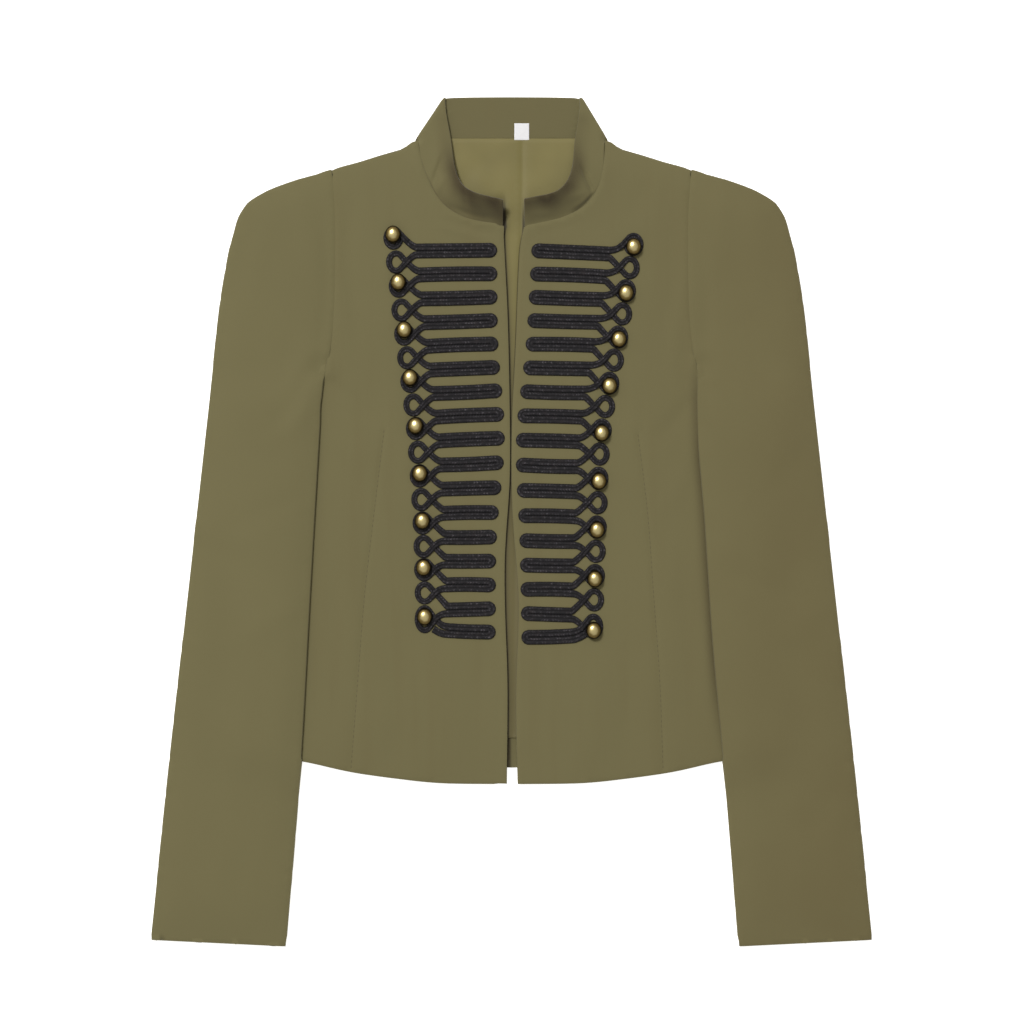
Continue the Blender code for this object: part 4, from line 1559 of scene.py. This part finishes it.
@dataclass
class Collar:
    """The stand collar: the solid band, softened, with turned edges and the folds of its front ends.

    Sizes are in millimetres.

    Attributes:
        ends: its two front ends.
        levels: how many times the solid's faces are split.
        seam_high: height of the band's seam at the front.
        free_high: height of its free edge there.
        roll: how far it rolls inwards between the two.
        layers: heights between which the back layer gives way to the front ends.
        corner: its upper corner, as out and up.
        corner_reach: how far from the corner the cloth is pulled to it.
        corner_pull: how far it is pulled.
        foot: its lower corner at the shoulder.
        foot_reach: how far from that corner the cloth flares.
        side_slope: how far its side runs out for each millimetre down.
        inner_out: where the front ends' inner edge is at the top.
        top_shift: how far that edge moves out there.
        pull_share: how much of the corner's pull goes inwards and down the jacket.
        flare: how far the foot moves outwards, down the jacket and down to it.
    """

    ends: dict[Side, CollarEnd]
    levels: int = 3
    seam_high: float = 5.6
    free_high: float = 18.6
    roll: float = 2.6
    layers: tuple[float, float] = (2.6, 4.2)
    corner: Spot = Spot(54.8, 341.0)
    corner_reach: float = 6.0
    corner_pull: float = 1.3
    foot: Spot = Spot(75.8, 306.4)
    foot_reach: float = 7.0
    side_slope: float = 0.635
    inner_out: float = 50.5
    top_shift: float = 1.8
    pull_share: Spot = Spot(0.6, 0.8)
    flare: tuple[float, float, float] = (0.9, 2.2, 3.6)

    def build(self, suiting: bpy.types.Material) -> None:
        """Makes the collar.

        Args:
            suiting: the cloth's material.
        """
        bm = bmesh.new()
        bm.from_mesh(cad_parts["collar"].data)
        bmesh.ops.remove_doubles(bm, verts=bm.verts[:], dist=1e-6)
        flat, sharp = math.radians(30), math.radians(60)
        bmesh.ops.join_triangles(
            bm, faces=bm.faces[:], angle_face_threshold=flat, angle_shape_threshold=sharp
        )
        crease = bm.edges.layers.float.new("crease_edge")
        for edge in bm.edges:
            if len(edge.link_faces) == 2 and edge.calc_face_angle(0.0) > sharp:
                edge[crease] = 0.75
        piece = new_object("collar_band", mesh_from(bm, "collar_band"), suiting)
        smoother = piece.modifiers.new("Smooth", "SUBSURF")
        smoother.levels = self.levels
        smoother.render_levels = self.levels
        graph = bpy.context.evaluated_depsgraph_get()
        fine = bpy.data.meshes.new_from_object(piece.evaluated_get(graph))
        piece.modifiers.clear()
        piece.data = fine
        map_shade(fine, self.shade)
        self.fold(fine)
        fine.shade_smooth()
        stand_for(piece, "collar")
        LOG.info("%s: %d points", piece.name, len(fine.vertices))

    def fold(self, mesh: bpy.types.Mesh) -> None:
        """Moves the band's points by its roll, its folds and the pull at its corners.

        Args:
            mesh: the band's mesh.
        """
        places = places_of(mesh)
        plan = places[:, :2] / MM
        high = places[:, 2] / MM
        front_layer = fade(*self.layers, high)
        share = np.clip((high - self.seam_high) / (self.free_high - self.seam_high), 0, 1)
        places[:, 2] -= self.roll * 4 * share * (1 - share) * MM
        for side, end in self.ends.items():
            here = np.sign(plan[:, 0]) == side.value
            moved = crease_height(end.creases, side, plan)
            places[:, 2] += np.where(here, moved * front_layer, 0.0) * MM
        out, up = np.abs(plan[:, 0]), plan[:, 1]
        outer = self.corner.out + (self.corner.up - up) * self.side_slope
        inward = np.clip((outer - out) / np.maximum(outer - self.inner_out, 1.0), 0, 1)
        shift = self.top_shift * fade(300.0, 334.0, up) * inward * front_layer
        from_corner = np.hypot(out - self.corner.out, up - self.corner.up)
        pull = self.corner_pull * np.clip(1 - from_corner / self.corner_reach, 0, 1) ** 2
        from_foot = np.hypot(out - self.foot.out, up - self.foot.up)
        flare = np.clip(1 - from_foot / self.foot_reach, 0, 1) ** 2
        outwards = shift - pull * self.pull_share.out + flare * self.flare[0]
        places[:, 0] += np.sign(plan[:, 0]) * outwards * MM
        places[:, 1] -= (pull * self.pull_share.up + flare * self.flare[1]) * MM
        places[:, 2] -= flare * front_layer * self.flare[2] * MM
        mesh.vertices.foreach_set("co", places.ravel())
        mesh.update()

    def shade(self, spots: np.ndarray) -> np.ndarray:
        """How much painted shade the band takes: on its outer side at the front, most near the free edge, and
        in the right end's seam.

        Args:
            spots: places, in millimetres.

        Returns:
            One share a place, from 0 to 1.
        """
        x, up, high = spots.T
        painted_shades = np.zeros(len(spots))
        # painted shade near the free edge, where the band rolls away from the light
        for side, end in self.ends.items():
            away = distances(on_side(side, end.free_edge), spots[:, :2])
            from_seam = end.seam_shade * (1 - fade(245.0, 275.0, up))
            brown = from_seam + (1 - from_seam) * (1 - fade(1.0, 15.0, away))
            brown *= 0.86 + 0.28 * np.sin(x * 0.21 + up * 0.13) * np.sin(x * 0.09 - 1.0)
            brown *= 1 - 0.72 * fade(262.0, 316.0, up)
            painted_shades = np.where(np.sign(x) == side.value, brown, painted_shades)
        # painted shade: a thin dark line in the right end's seam
        seam = (1 - fade(0.5, 1.6, high - self.seam_high)) * (x < 0) * (1 - fade(262.0, 280.0, up))
        painted_shades = np.maximum(painted_shades * (1 - fade(322.0, 336.0, up)), seam) * fade(*self.layers, high)
        # the inner side of the back band is a little darker and browner
        inner_back = 0.17 * fade(302.0, 308.0, up) * (np.abs(x) < 53.0)
        return np.maximum(painted_shades, inner_back)


COLLAR = Collar(
    ends={
        Side.RIGHT: CollarEnd(
            creases=(
                Crease((63, 271), (55, 292), 1.6, 1.8),
                Crease((60, 262), (52, 276), -1.0, 2.6),
                Crease((46, 251), (12, 242), 0.9, 2.6),
                Crease((38, 258), (20, 250), -0.6, 3),
            ),
            free_edge=(
                (6.8, 256), (18, 258.4), (30, 261.2), (41, 268.4),
                (45.6, 283), (47.6, 300), (50, 320),
            ),
            seam_shade=0.62,
        ),
        Side.LEFT: CollarEnd(
            creases=(
                Crease((56, 283), (65.5, 263), 2.4, 1.7),
                Crease((65.5, 262), (50, 247.5), 2.0, 1.7),
                Crease((58, 262), (44, 256), -0.7, 3.4),
                Crease((30, 246), (14, 245), -0.5, 3),
            ),
            free_edge=(
                (10, 256.6), (22, 258.8), (35, 261.2), (45, 270),
                (49.4, 284), (50.2, 300), (52, 320),
            ),
            seam_shade=0.22,
        ),
    }
)


# Braid


class BraidRow(NamedTuple):
    """The braid at every fourth ring and the bar below it, in millimetres.

    The ring has its centre, and the bar has its end at the front edge and how far its other end lies below
    the middle between two rings.
    """

    ring_out: float
    ring_up: float
    bar_out: float
    bar_up: float
    fork_drop: float


@dataclass
class Braid:
    """One front's braid: an unbroken flat cord in rings and bars, with two plaited ridges.

    Attributes:
        side: the front that it lies on.
        rows: its places at every fourth ring, as in the solid.
        last_ring: the last ring's centre, which the rows don't give.
        last_ring_half_height: half of that ring's height.
        last_fork: the last bar's end beside it.
        tail: the cord's free end, past the last bar.
        later_over: whether the later stretch passes over at a crossing.
        bars: how many bars and rings it has.
        bars_per_row: bars from one row of places to the next.
        bar_cord, ring_cord: the cord's width in the bars and in the rings.
        thick: its thickness.
        pair_gap: between a bar's two halves.
        ring_half_width, ring_half_height: half of a ring's size.
        tangent: the angle at which the cord leaves a ring, in degrees.
        first_ring_start: the angle at which it starts in the first ring.
        crossing_out: from a ring's centre to its crossing.
        fork_out: from the rings' centres to the bar's end between them.
        fork_ease: how far past the bar's end a curve runs out.
        hump: how far the cord rises where it passes over.
        hump_reach: how far from the crossing it begins to sink and lies down again.
        sag: how far a bar's middle strays up or down.
        curve_steps, ring_steps, turn_steps: places along a fork or a bar, a ring and a bar's turn.
        end_swell: how far a bar's turn bulges.
        edge_height, groove_height: heights beside the ridges, as shares of the thickness.
        step: distance between its sections.
        seat: height of the front that it lies on.
    """

    side: Side
    rows: tuple[BraidRow, ...]
    last_ring: Spot
    last_ring_half_height: float
    last_fork: Spot
    tail: tuple[Spot, ...]
    later_over: bool
    bars: int = 17
    bars_per_row: int = 4
    bar_cord: float = 5.9
    ring_cord: float = 4.8
    thick: float = 1.7
    pair_gap: float = 0.05
    ring_half_width: float = 5.6
    ring_half_height: float = 6.95
    tangent: float = 43.0
    first_ring_start: float = 6.0
    crossing_out: float = 8.4
    fork_out: float = 15.5
    fork_ease: float = 2.4
    hump: float = 1.7
    hump_reach: tuple[float, float] = (1.6, 5.4)
    sag: float = 0.35
    curve_steps: int = 8
    ring_steps: int = 40
    turn_steps: int = 14
    end_swell: float = 0.3
    edge_height: float = 0.35
    groove_height: float = 0.62
    step: float = 1.15
    seat: float = 4.95

    def value(self, column: str, bar: float) -> float:
        """A column of the table at any bar, counted from 0 at the top and read smoothly.

        Args:
            column: the column's name.
            bar: the bar's number.

        Returns:
            The value there.
        """
        values = [getattr(entry, column) for entry in self.rows]
        row = bar / self.bars_per_row
        i = min(int(row), len(values) - 2)
        t = row - i
        start, end = values[i], values[i + 1]
        before = values[i - 1] if i else start
        after = values[i + 2] if i + 2 < len(values) else end
        first_slope = (end - before) / (2 if i else 1)
        last_slope = (after - start) / (2 if i + 2 < len(values) else 1)
        return eased(t, (start, end), (first_slope, last_slope))

    def ring(self, number: int) -> Spot:
        """A ring's centre, counted from 0 at the top.

        Args:
            number: the ring's number.

        Returns:
            The centre.
        """
        if number == self.bars - 1:
            return self.last_ring
        return Spot(self.value("ring_out", number), self.value("ring_up", number))

    def bar(self, number: int) -> tuple[Spot, Spot]:
        """A bar's two ends, at its fork and at the front edge.

        Args:
            number: the bar's number.

        Returns:
            The two ends.
        """
        edge = Spot(self.value("bar_out", number), self.value("bar_up", number))
        if number == self.bars - 1:
            return self.last_fork, edge
        upper = self.ring(number)
        lower = self.ring(number + 1)
        drop = self.value("fork_drop", number)
        return Spot((upper.out + lower.out) / 2 - self.fork_out, (upper.up + lower.up) / 2 - drop), edge

    def fork(self, bar: int, ring: int, above: bool) -> list[tuple[Spot, float]]:
        """The curve from a ring's crossing to half of a bar.

        Args:
            bar: the bar that it reaches.
            ring: the ring that it leaves.
            above: whether the bar lies above the ring.

        Returns:
            Places with how far along the curve they are, from 0 to 1.
        """
        centre = self.ring(ring)
        start = Spot(centre.out - self.crossing_out, centre.up)
        end_of_bar, _ = self.bar(bar)
        pair = (self.bar_cord + self.pair_gap) / 2
        end = Spot(end_of_bar.out - self.fork_ease, end_of_bar.up + (-pair if above else pair))
        slope = math.tan(math.radians(90 - self.tangent))
        corner = Spot(start.out - abs(end.up - start.up) / slope, end.up)
        curve = []
        for step in range(1, self.curve_steps + 1):
            t = step / self.curve_steps
            place = Spot(
                *(a * (1 - t) ** 2 + 2 * c * t * (1 - t) + b * t * t for a, c, b in zip(start, corner, end))
            )
            curve.append((place, t))
        return curve

    def path(self) -> list[tuple[float, float, float, float]]:
        """The cord's way: out, up, half width and lift, all in millimetres.

        Returns:
            The way's places in order.
        """
        way: list[tuple[float, float, float, float]] = []
        pair = (self.bar_cord + self.pair_gap) / 2
        slim, full = self.ring_cord / 2, self.bar_cord / 2

        def add(place: Spot, half: float, crossing: Spot | None = None, over: bool = False) -> None:
            """Adds a place, lifted near its crossing where it passes over.

            Args:
                place: the place.
                half: half of the cord's width there.
                crossing: the crossing that it is near.
                over: whether it passes over there.
            """
            lift = 0.0
            if over and crossing is not None:
                far = np.array(math.dist(place, crossing))
                lift = self.hump * (1 - float(fade(*self.hump_reach, far)))
            way.append((place.out, place.up, half, lift))

        for number in range(self.bars):
            centre = self.ring(number)
            crossing = Spot(centre.out - self.crossing_out, centre.up)
            over_in = not self.later_over and number > 0
            over_out = self.later_over or number == 0
            first_angle = self.tangent
            half_height = self.last_ring_half_height if number == self.bars - 1 else self.ring_half_height
            if number:
                for place, t in reversed(self.fork(number - 1, number, above=True)):
                    add(place, slim + (full - slim) * t, crossing, over_in)
                add(crossing, slim, crossing, over_in)
            else:
                first_angle = self.first_ring_start
            sweep = 360 - first_angle - self.tangent
            for step in range(self.ring_steps + 1):
                angle = math.radians(first_angle + sweep * step / self.ring_steps)
                place = Spot(
                    centre.out - self.ring_half_width * math.cos(angle),
                    centre.up - half_height * math.sin(angle),
                )
                add(place, slim, crossing, over_in if step < self.ring_steps / 2 else over_out)
            add(crossing, slim, crossing, over_out)
            for place, t in self.fork(number, number, above=False):
                add(place, slim + (full - slim) * t, crossing, over_out)
            way += self.bar_turn(number, pair, full)
        tail = [self.last_fork._replace(up=self.last_fork.up - pair), *self.tail]
        way += [(*place, full, 0.0) for place in smooth(tail, 2.0)]
        return way

    def bar_turn(self, number: int, pair: float, full: float) -> list[tuple[float, float, float, float]]:
        """A bar's two halves and the turn between them at the front edge.

        Args:
            number: the bar's number.
            pair: from the bar's middle to a half's.
            full: half of the cord's width.

        Returns:
            Places as in `path`.
        """
        fork, edge = self.bar(number)
        run = Vector((fork.out - edge.out, fork.up - edge.up)).normalized()
        across = Vector((-run.y, run.x))
        centre = Vector((edge.out, edge.up)) + run * (pair + full)
        far = Vector((fork.out, fork.up))
        sag = self.sag * math.sin(number * 1.9)

        def half(sign: int) -> list[tuple[float, float, float, float]]:
            """One half of the bar, from its fork to its turn.

            Args:
                sign: 1 for the upper half, -1 for the lower.

            Returns:
                The half's places.
            """
            places = []
            for step in range(1, self.curve_steps):
                middle = far.lerp(centre, step / self.curve_steps)
                middle.y += sag * math.sin(math.pi * step / self.curve_steps)
                place = middle + across * (sign * pair)
                places.append((place.x, place.y, full, 0.0))
            return places

        turn = []
        for step in range(self.turn_steps + 1):
            angle = math.pi * step / self.turn_steps
            swell = self.end_swell * math.sin(angle)
            place = centre + (across * math.cos(angle) - run * math.sin(angle)) * (pair + swell)
            turn.append((place.x, place.y, full + swell, 0.0))
        return half(1) + turn + half(-1)[::-1]

    def even_path(self) -> np.ndarray:
        """The way with its points at even steps.

        Returns:
            An array of out, up, half width, lift and how far along the cord it is, with this front's sign.
        """
        way = np.array(self.path())
        way[:, 0] *= self.side.value
        gaps = np.hypot(*np.diff(way[:, :2], axis=0).T)
        keep = np.concatenate([[True], gaps > 0.05])
        way = way[keep]
        along = np.concatenate([[0.0], np.cumsum(np.hypot(*np.diff(way[:, :2], axis=0).T))])
        steps = np.linspace(0, along[-1], int(along[-1] / self.step))
        even = np.stack([np.interp(steps, along, way[:, i]) for i in range(4)], axis=1)
        return np.column_stack([even, steps])

    def section(self) -> list[tuple[float, float]]:
        """The cord's section: across from -1 to 1 and height from 0 to 1, two ridges and a groove.

        Returns:
            The section's points in order.
        """
        top = []
        for step in range(13):
            across = step / 6 - 1
            ridge = math.sqrt(max(1 - (2 * abs(across) - 1) ** 2, 0.0))
            foot = self.edge_height if abs(across) > 0.5 else self.groove_height
            top.append((across, foot + (1 - foot) * ridge))
        return top + [(1.0, 0.0), (-1.0, 0.0)]

    def build(self, yarn: bpy.types.Material) -> None:
        """Makes the braid, mapped by millimetres along it and from -1 to 1 across it.

        Args:
            yarn: its material.
        """
        way = self.even_path()
        run = unit(np.gradient(way[:, :2], axis=0))
        aside = np.stack([-run[:, 1], run[:, 0]], axis=1)
        section = self.section()
        count = len(section)
        verts = []
        for place, side, half, lift in zip(way[:, :2], aside, way[:, 2], way[:, 3]):
            for across, high in section:
                spot = place + side * across * half
                verts.append((spot[0] * MM, spot[1] * MM, (self.seat + lift + high * self.thick) * MM))
        faces = []
        for i in range(len(way) - 1):
            for j in range(count):
                k = (j + 1) % count
                faces.append((i * count + j, i * count + k, (i + 1) * count + k, (i + 1) * count + j))
        faces.append(tuple(range(count))[::-1])
        faces.append(tuple((len(way) - 1) * count + j for j in range(count)))
        name = f"braid_{self.side.word}_cord"
        mesh = bpy.data.meshes.new(name)
        mesh.from_pydata(verts, [], faces)
        across = [place[0] for place in section]
        lay_map(mesh, "cord", np.stack([way[:, 4].repeat(count), np.tile(across, len(way))], axis=1))
        bm = bmesh.new()
        bm.from_mesh(mesh)
        bmesh.ops.recalc_face_normals(bm, faces=bm.faces[:])
        bm.to_mesh(mesh)
        bm.free()
        stand_for(new_object(name, mesh, yarn), f"braid_{self.side.word}")
        LOG.info("%s: %d points", name, len(verts))


BRAIDS = (
    Braid(
        side=Side.RIGHT,
        rows=(
            BraidRow(ring_out=94.5, ring_up=226.8, bar_out=12.0, bar_up=217.0, fork_drop=0.8),
            BraidRow(ring_out=85.9, ring_up=150.0, bar_out=11.0, bar_up=142.2, fork_drop=0.4),
            BraidRow(ring_out=76.5, ring_up=74.4, bar_out=5.8, bar_up=66.8, fork_drop=0.4),
            BraidRow(ring_out=71.2, ring_up=-1.2, bar_out=12.2, bar_up=-12.4, fork_drop=2.1),
            BraidRow(ring_out=69.0, ring_up=-75.6, bar_out=13.2, bar_up=-88.6, fork_drop=3.6),
        ),
        last_ring=Spot(69.5, -78.1),
        last_ring_half_height=8.9,
        last_fork=Spot(54.0, -87.0),
        tail=(Spot(57.4, -88.9), Spot(62.6, -85.9)),
        later_over=False,
    ),
    Braid(
        side=Side.LEFT,
        rows=(
            BraidRow(ring_out=97.6, ring_up=221.6, bar_out=16.4, bar_up=216.8, fork_drop=-1.6),
            BraidRow(ring_out=85.4, ring_up=147.6, bar_out=11.8, bar_up=142.0, fork_drop=-2.5),
            BraidRow(ring_out=72.2, ring_up=73.2, bar_out=4.0, bar_up=65.2, fork_drop=-0.2),
            BraidRow(ring_out=68.2, ring_up=-4.4, bar_out=6.8, bar_up=-15.2, fork_drop=1.9),
            BraidRow(ring_out=65.4, ring_up=-82.0, bar_out=8.4, bar_up=-92.8, fork_drop=1.4),
        ),
        last_ring=Spot(65.4, -83.9),
        last_ring_half_height=7.9,
        last_fork=Spot(50.0, -91.4),
        tail=(Spot(54.8, -92.4), Spot(59.2, -89.8)),
        later_over=True,
    ),
)


@dataclass
class Buttons:
    """The dome buttons: a shank, a rolled rim and a full dome. Sizes are in millimetres.

    Attributes:
        radius: half of the width.
        stretch: how much longer than wide a button is.
        height: from the shank's foot to the crown.
        foot: the shank's height.
        shank: the shank's radius.
        rim: the rolled rim's radius.
        inset: how far the dome stands in from the rim.
        lean: how far a button leans at most, in radians.
        segments: sides of the round mesh.
        each_side: buttons on each front.
    """

    radius: float = 6.15
    stretch: float = 1.13
    height: float = 8.6
    foot: float = 3.8
    shank: float = 1.2
    rim: float = 0.55
    inset: float = 0.35
    lean: float = 0.05
    segments: int = 48
    each_side: int = 9

    def profile(self) -> list[tuple[float, float]]:
        """The turned outline, from the shank's foot to the crown.

        Returns:
            Radius and height of each point.
        """
        rim, face = self.rim, self.radius - self.rim
        outline = [(0.0, 0.0), (self.shank, 0.0), (self.shank, self.foot), (face, self.foot)]
        for step in range(1, 6):
            angle = math.radians(-90 + step * 30)
            outline.append((face + rim * math.cos(angle), self.foot + rim + rim * math.sin(angle)))
        waist = self.foot + 2 * rim
        dome = self.height - waist
        for step in range(15):
            angle = math.radians(90 * step / 14)
            outline.append(((self.radius - self.inset) * math.cos(angle), waist + dome * math.sin(angle)))
        return outline

    def dome(self, brass: bpy.types.Material) -> bpy.types.Mesh:
        """The mesh that all buttons share, mapped from shank to crown.

        Args:
            brass: its material.

        Returns:
            The mesh.
        """
        outline = self.profile()
        bm = bmesh.new()
        layer = bm.loops.layers.uv.new("turned")
        rings = []
        for radius, high in outline:
            if radius < 1e-6:
                rings.append([bm.verts.new((0, 0, high * MM))])
                continue
            ring = []
            for i in range(self.segments):
                angle = math.tau * i / self.segments
                x, y = radius * math.cos(angle), radius * math.sin(angle) * self.stretch
                ring.append(bm.verts.new((x * MM, y * MM, high * MM)))
            rings.append(ring)
        for lower, upper in zip(rings, rings[1:]):
            for i in range(self.segments):
                j = (i + 1) % self.segments
                places = ((lower, i), (lower, j), (upper, j), (upper, i))
                corners = [ring[k % len(ring)] for ring, k in places]
                face = bm.faces.new(list(dict.fromkeys(corners)))
                for loop in face.loops:
                    loop[layer].uv = (i / self.segments, loop.vert.co.z / (self.height * MM))
        bmesh.ops.recalc_face_normals(bm, faces=bm.faces[:])
        mesh = mesh_from(bm, "dome_button")
        mesh.materials.append(brass)
        mesh.shade_smooth()
        return mesh

    def build(self, brass: bpy.types.Material) -> None:
        """Makes every button on its solid's place.

        Args:
            brass: their material.
        """
        mesh = self.dome(brass)
        for side in Side:
            for number in range(1, self.each_side + 1):
                node = f"button_{side.word}_{number}"
                low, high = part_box(node)
                button = bpy.data.objects.new(f"dome_{side.word}_{number}", mesh)
                button.location = ((low.x + high.x) / 2, (low.y + high.y) / 2, low.z)
                button.rotation_euler = (self.lean * math.sin(number), self.lean * math.cos(number * 2), 0.0)
                bpy.context.collection.objects.link(button)
                stand_for(button, node)
        LOG.info("%d dome buttons", 2 * self.each_side)


@dataclass
class DartStitches:
    """Short stitches down each dart, sunk in its groove. Sizes are in millimetres.

    Attributes:
        pitch: from one stitch to the next.
        length: a stitch's length.
        half_width: half of its width.
        rows: places along a stitch, each with its share of the length, of the width, and its rise.
        section: places across it, each with its share of the half width and its height.
        front_high: height of the front where a ray finds none.
    """

    pitch: float = 4.4
    length: float = 2.6
    half_width: float = 0.22
    rows: tuple[tuple[float, float, float], ...] = (
        (0.0, 0.4, 0.0),
        (0.3, 1.0, 0.16),
        (0.7, 1.0, 0.16),
        (1.0, 0.4, 0.0),
    )
    section: Places = ((-1.0, -0.05), (0.0, 0.14), (1.0, -0.05))
    front_high: float = 4.9

    def build(self, front: Front, shell: bpy.types.Object, thread: bpy.types.Material) -> None:
        """Sews one front's dart.

        Args:
            front: the front's sizes.
            shell: the front's shell, which the stitches lie on.
            thread: the material.
        """
        line = np.array(smooth(front.dart_line(), self.pitch))
        bm = bmesh.new()
        for start, run in zip(line, unit(np.diff(line, axis=0))):
            aside = np.array([-run[1], run[0]]) * self.half_width
            rows = []
            for share, swell, rise in self.rows:
                place = start + run * self.length * share
                hit = shell.ray_cast(Vector((place[0] * MM, place[1] * MM, 0.1)), Vector((0, 0, -1)))
                high = hit[1].z / MM if hit[0] else self.front_high
                row = []
                for across, up in self.section:
                    spot = place + aside * across * swell
                    row.append(bm.verts.new((spot[0] * MM, spot[1] * MM, (high + up + rise) * MM)))
                rows.append(row)
            for row, after in zip(rows, rows[1:]):
                for i in range(len(row) - 1):
                    bm.faces.new((row[i], row[i + 1], after[i + 1], after[i]))
        bmesh.ops.recalc_face_normals(bm, faces=bm.faces[:])
        name = f"dart_stitches_{front.side.word}"
        piece = new_object(name, mesh_from(bm, name), thread)
        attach(piece, "root")
        LOG.info("%s: %d points", name, len(piece.data.vertices))


# Studio


@dataclass
class Studio:
    """Camera straight above the jacket, a pale floor and soft lights.

    Attributes:
        pixel: real width of one pixel of the picture, in millimetres.
        picture: pixels along a side of it.
        middle: its centre on the jacket, in millimetres.
        lens: focal length, in millimetres.
        sensor: width of the camera's sensor, in millimetres.
        cloth_height: height of the cloth that is in focus, in millimetres.
        floor_half: half of the floor's side, in metres.
        floor_gap: from the jacket's underside down to the floor, in metres.
        surround: strength of the light from all round.
        horizon: that light's colour low down.
        overhead: its colour above.
    """

    pixel: float = 0.8
    picture: int = 1024
    middle: tuple[float, float] = (0.4, 7.6)
    lens: float = 90.0
    sensor: float = 36.0
    cloth_height: float = 5.0
    floor_half: float = 6.0
    floor_gap: float = 0.0002
    surround: float = 0.52
    horizon: Colour = (0.42, 0.37, 0.30)
    overhead: Colour = (1.0, 0.975, 0.93)

    def camera(self) -> None:
        """Places the camera."""
        data = bpy.data.cameras.new("camera")
        data.lens = self.lens
        data.sensor_width = self.sensor
        data.sensor_height = self.sensor
        data.clip_end = 20.0
        camera = bpy.data.objects.new("camera", data)
        reach = self.pixel * self.picture * self.lens / self.sensor
        camera.location = (self.middle[0] * MM, self.middle[1] * MM, (reach + self.cloth_height) * MM)
        bpy.context.collection.objects.link(camera)
        bpy.context.scene.camera = camera

    def floor(self) -> None:
        """Lays the pale surface."""
        bm = bmesh.new()
        bmesh.ops.create_grid(bm, x_segments=4, y_segments=4, size=self.floor_half)
        floor = new_object("floor", mesh_from(bm, "floor"), PaleFloor().material())
        floor.location.z = -self.floor_gap

    def light(
        self, name: str, place: tuple[float, float, float], size: float, power: float, tint: Colour
    ) -> None:
        """Hangs one soft square light that faces the jacket.

        Args:
            name: the light's name.
            place: where it hangs, in metres.
            size: its side, in metres.
            power: its power in watts.
            tint: its colour.
        """
        data = bpy.data.lights.new(name, "AREA")
        data.size = size
        data.energy = power
        data.color = tint
        lamp = bpy.data.objects.new(name, data)
        lamp.location = place
        lamp.rotation_euler = (-Vector(place)).to_track_quat("-Z", "Y").to_euler()
        bpy.context.collection.objects.link(lamp)

    def build(self) -> None:
        """Sets up the camera, floor, lights and surrounding light."""
        self.camera()
        self.floor()
        self.light("key", (-2.2, 3.1, 6.4), 1.5, 365.0, (1.0, 0.985, 0.96))
        world = bpy.data.worlds.new("soft_surround")
        board = Board(world, "Background")
        _, _, high = board.axes(board.coordinate("Generated"))
        board.feed("Color", board.blend(board.remap(high, 0.0, 0.9), self.horizon, self.overhead))
        board.fix(Strength=self.surround)
        bpy.context.scene.world = world
        bpy.context.scene.view_settings.view_transform = "Standard"
        LOG.info("camera, floor, light and surround")


def main() -> None:
    """Builds the studio and dresses the jacket piece by piece."""
    logging.basicConfig(level=logging.INFO, format="%(name)s: %(message)s")
    Studio().build()
    suiting = Suiting().material()
    shaded = Suiting().material("olive_suiting_shaded", folds=True)
    lining = LiningSatin().material()
    yarn = BraidYarn().material()
    brass = AntiqueBrass().material()
    shells = {front.side: front.build(shaded) for front in FRONTS}
    for sleeve in SLEEVES:
        sleeve.build(suiting)
    edges = {front.side: front.free_edge() for front in FRONTS}
    BackAndLining().build(edges, lining, LabelTape().material())
    COLLAR.build(shaded)
    for braid in BRAIDS:
        braid.build(yarn)
    Buttons().build(brass)
    thread = SewingThread().material()
    for front in FRONTS:
        DartStitches().build(front, shells[front.side], thread)


if __name__ == "__main__":
    main()
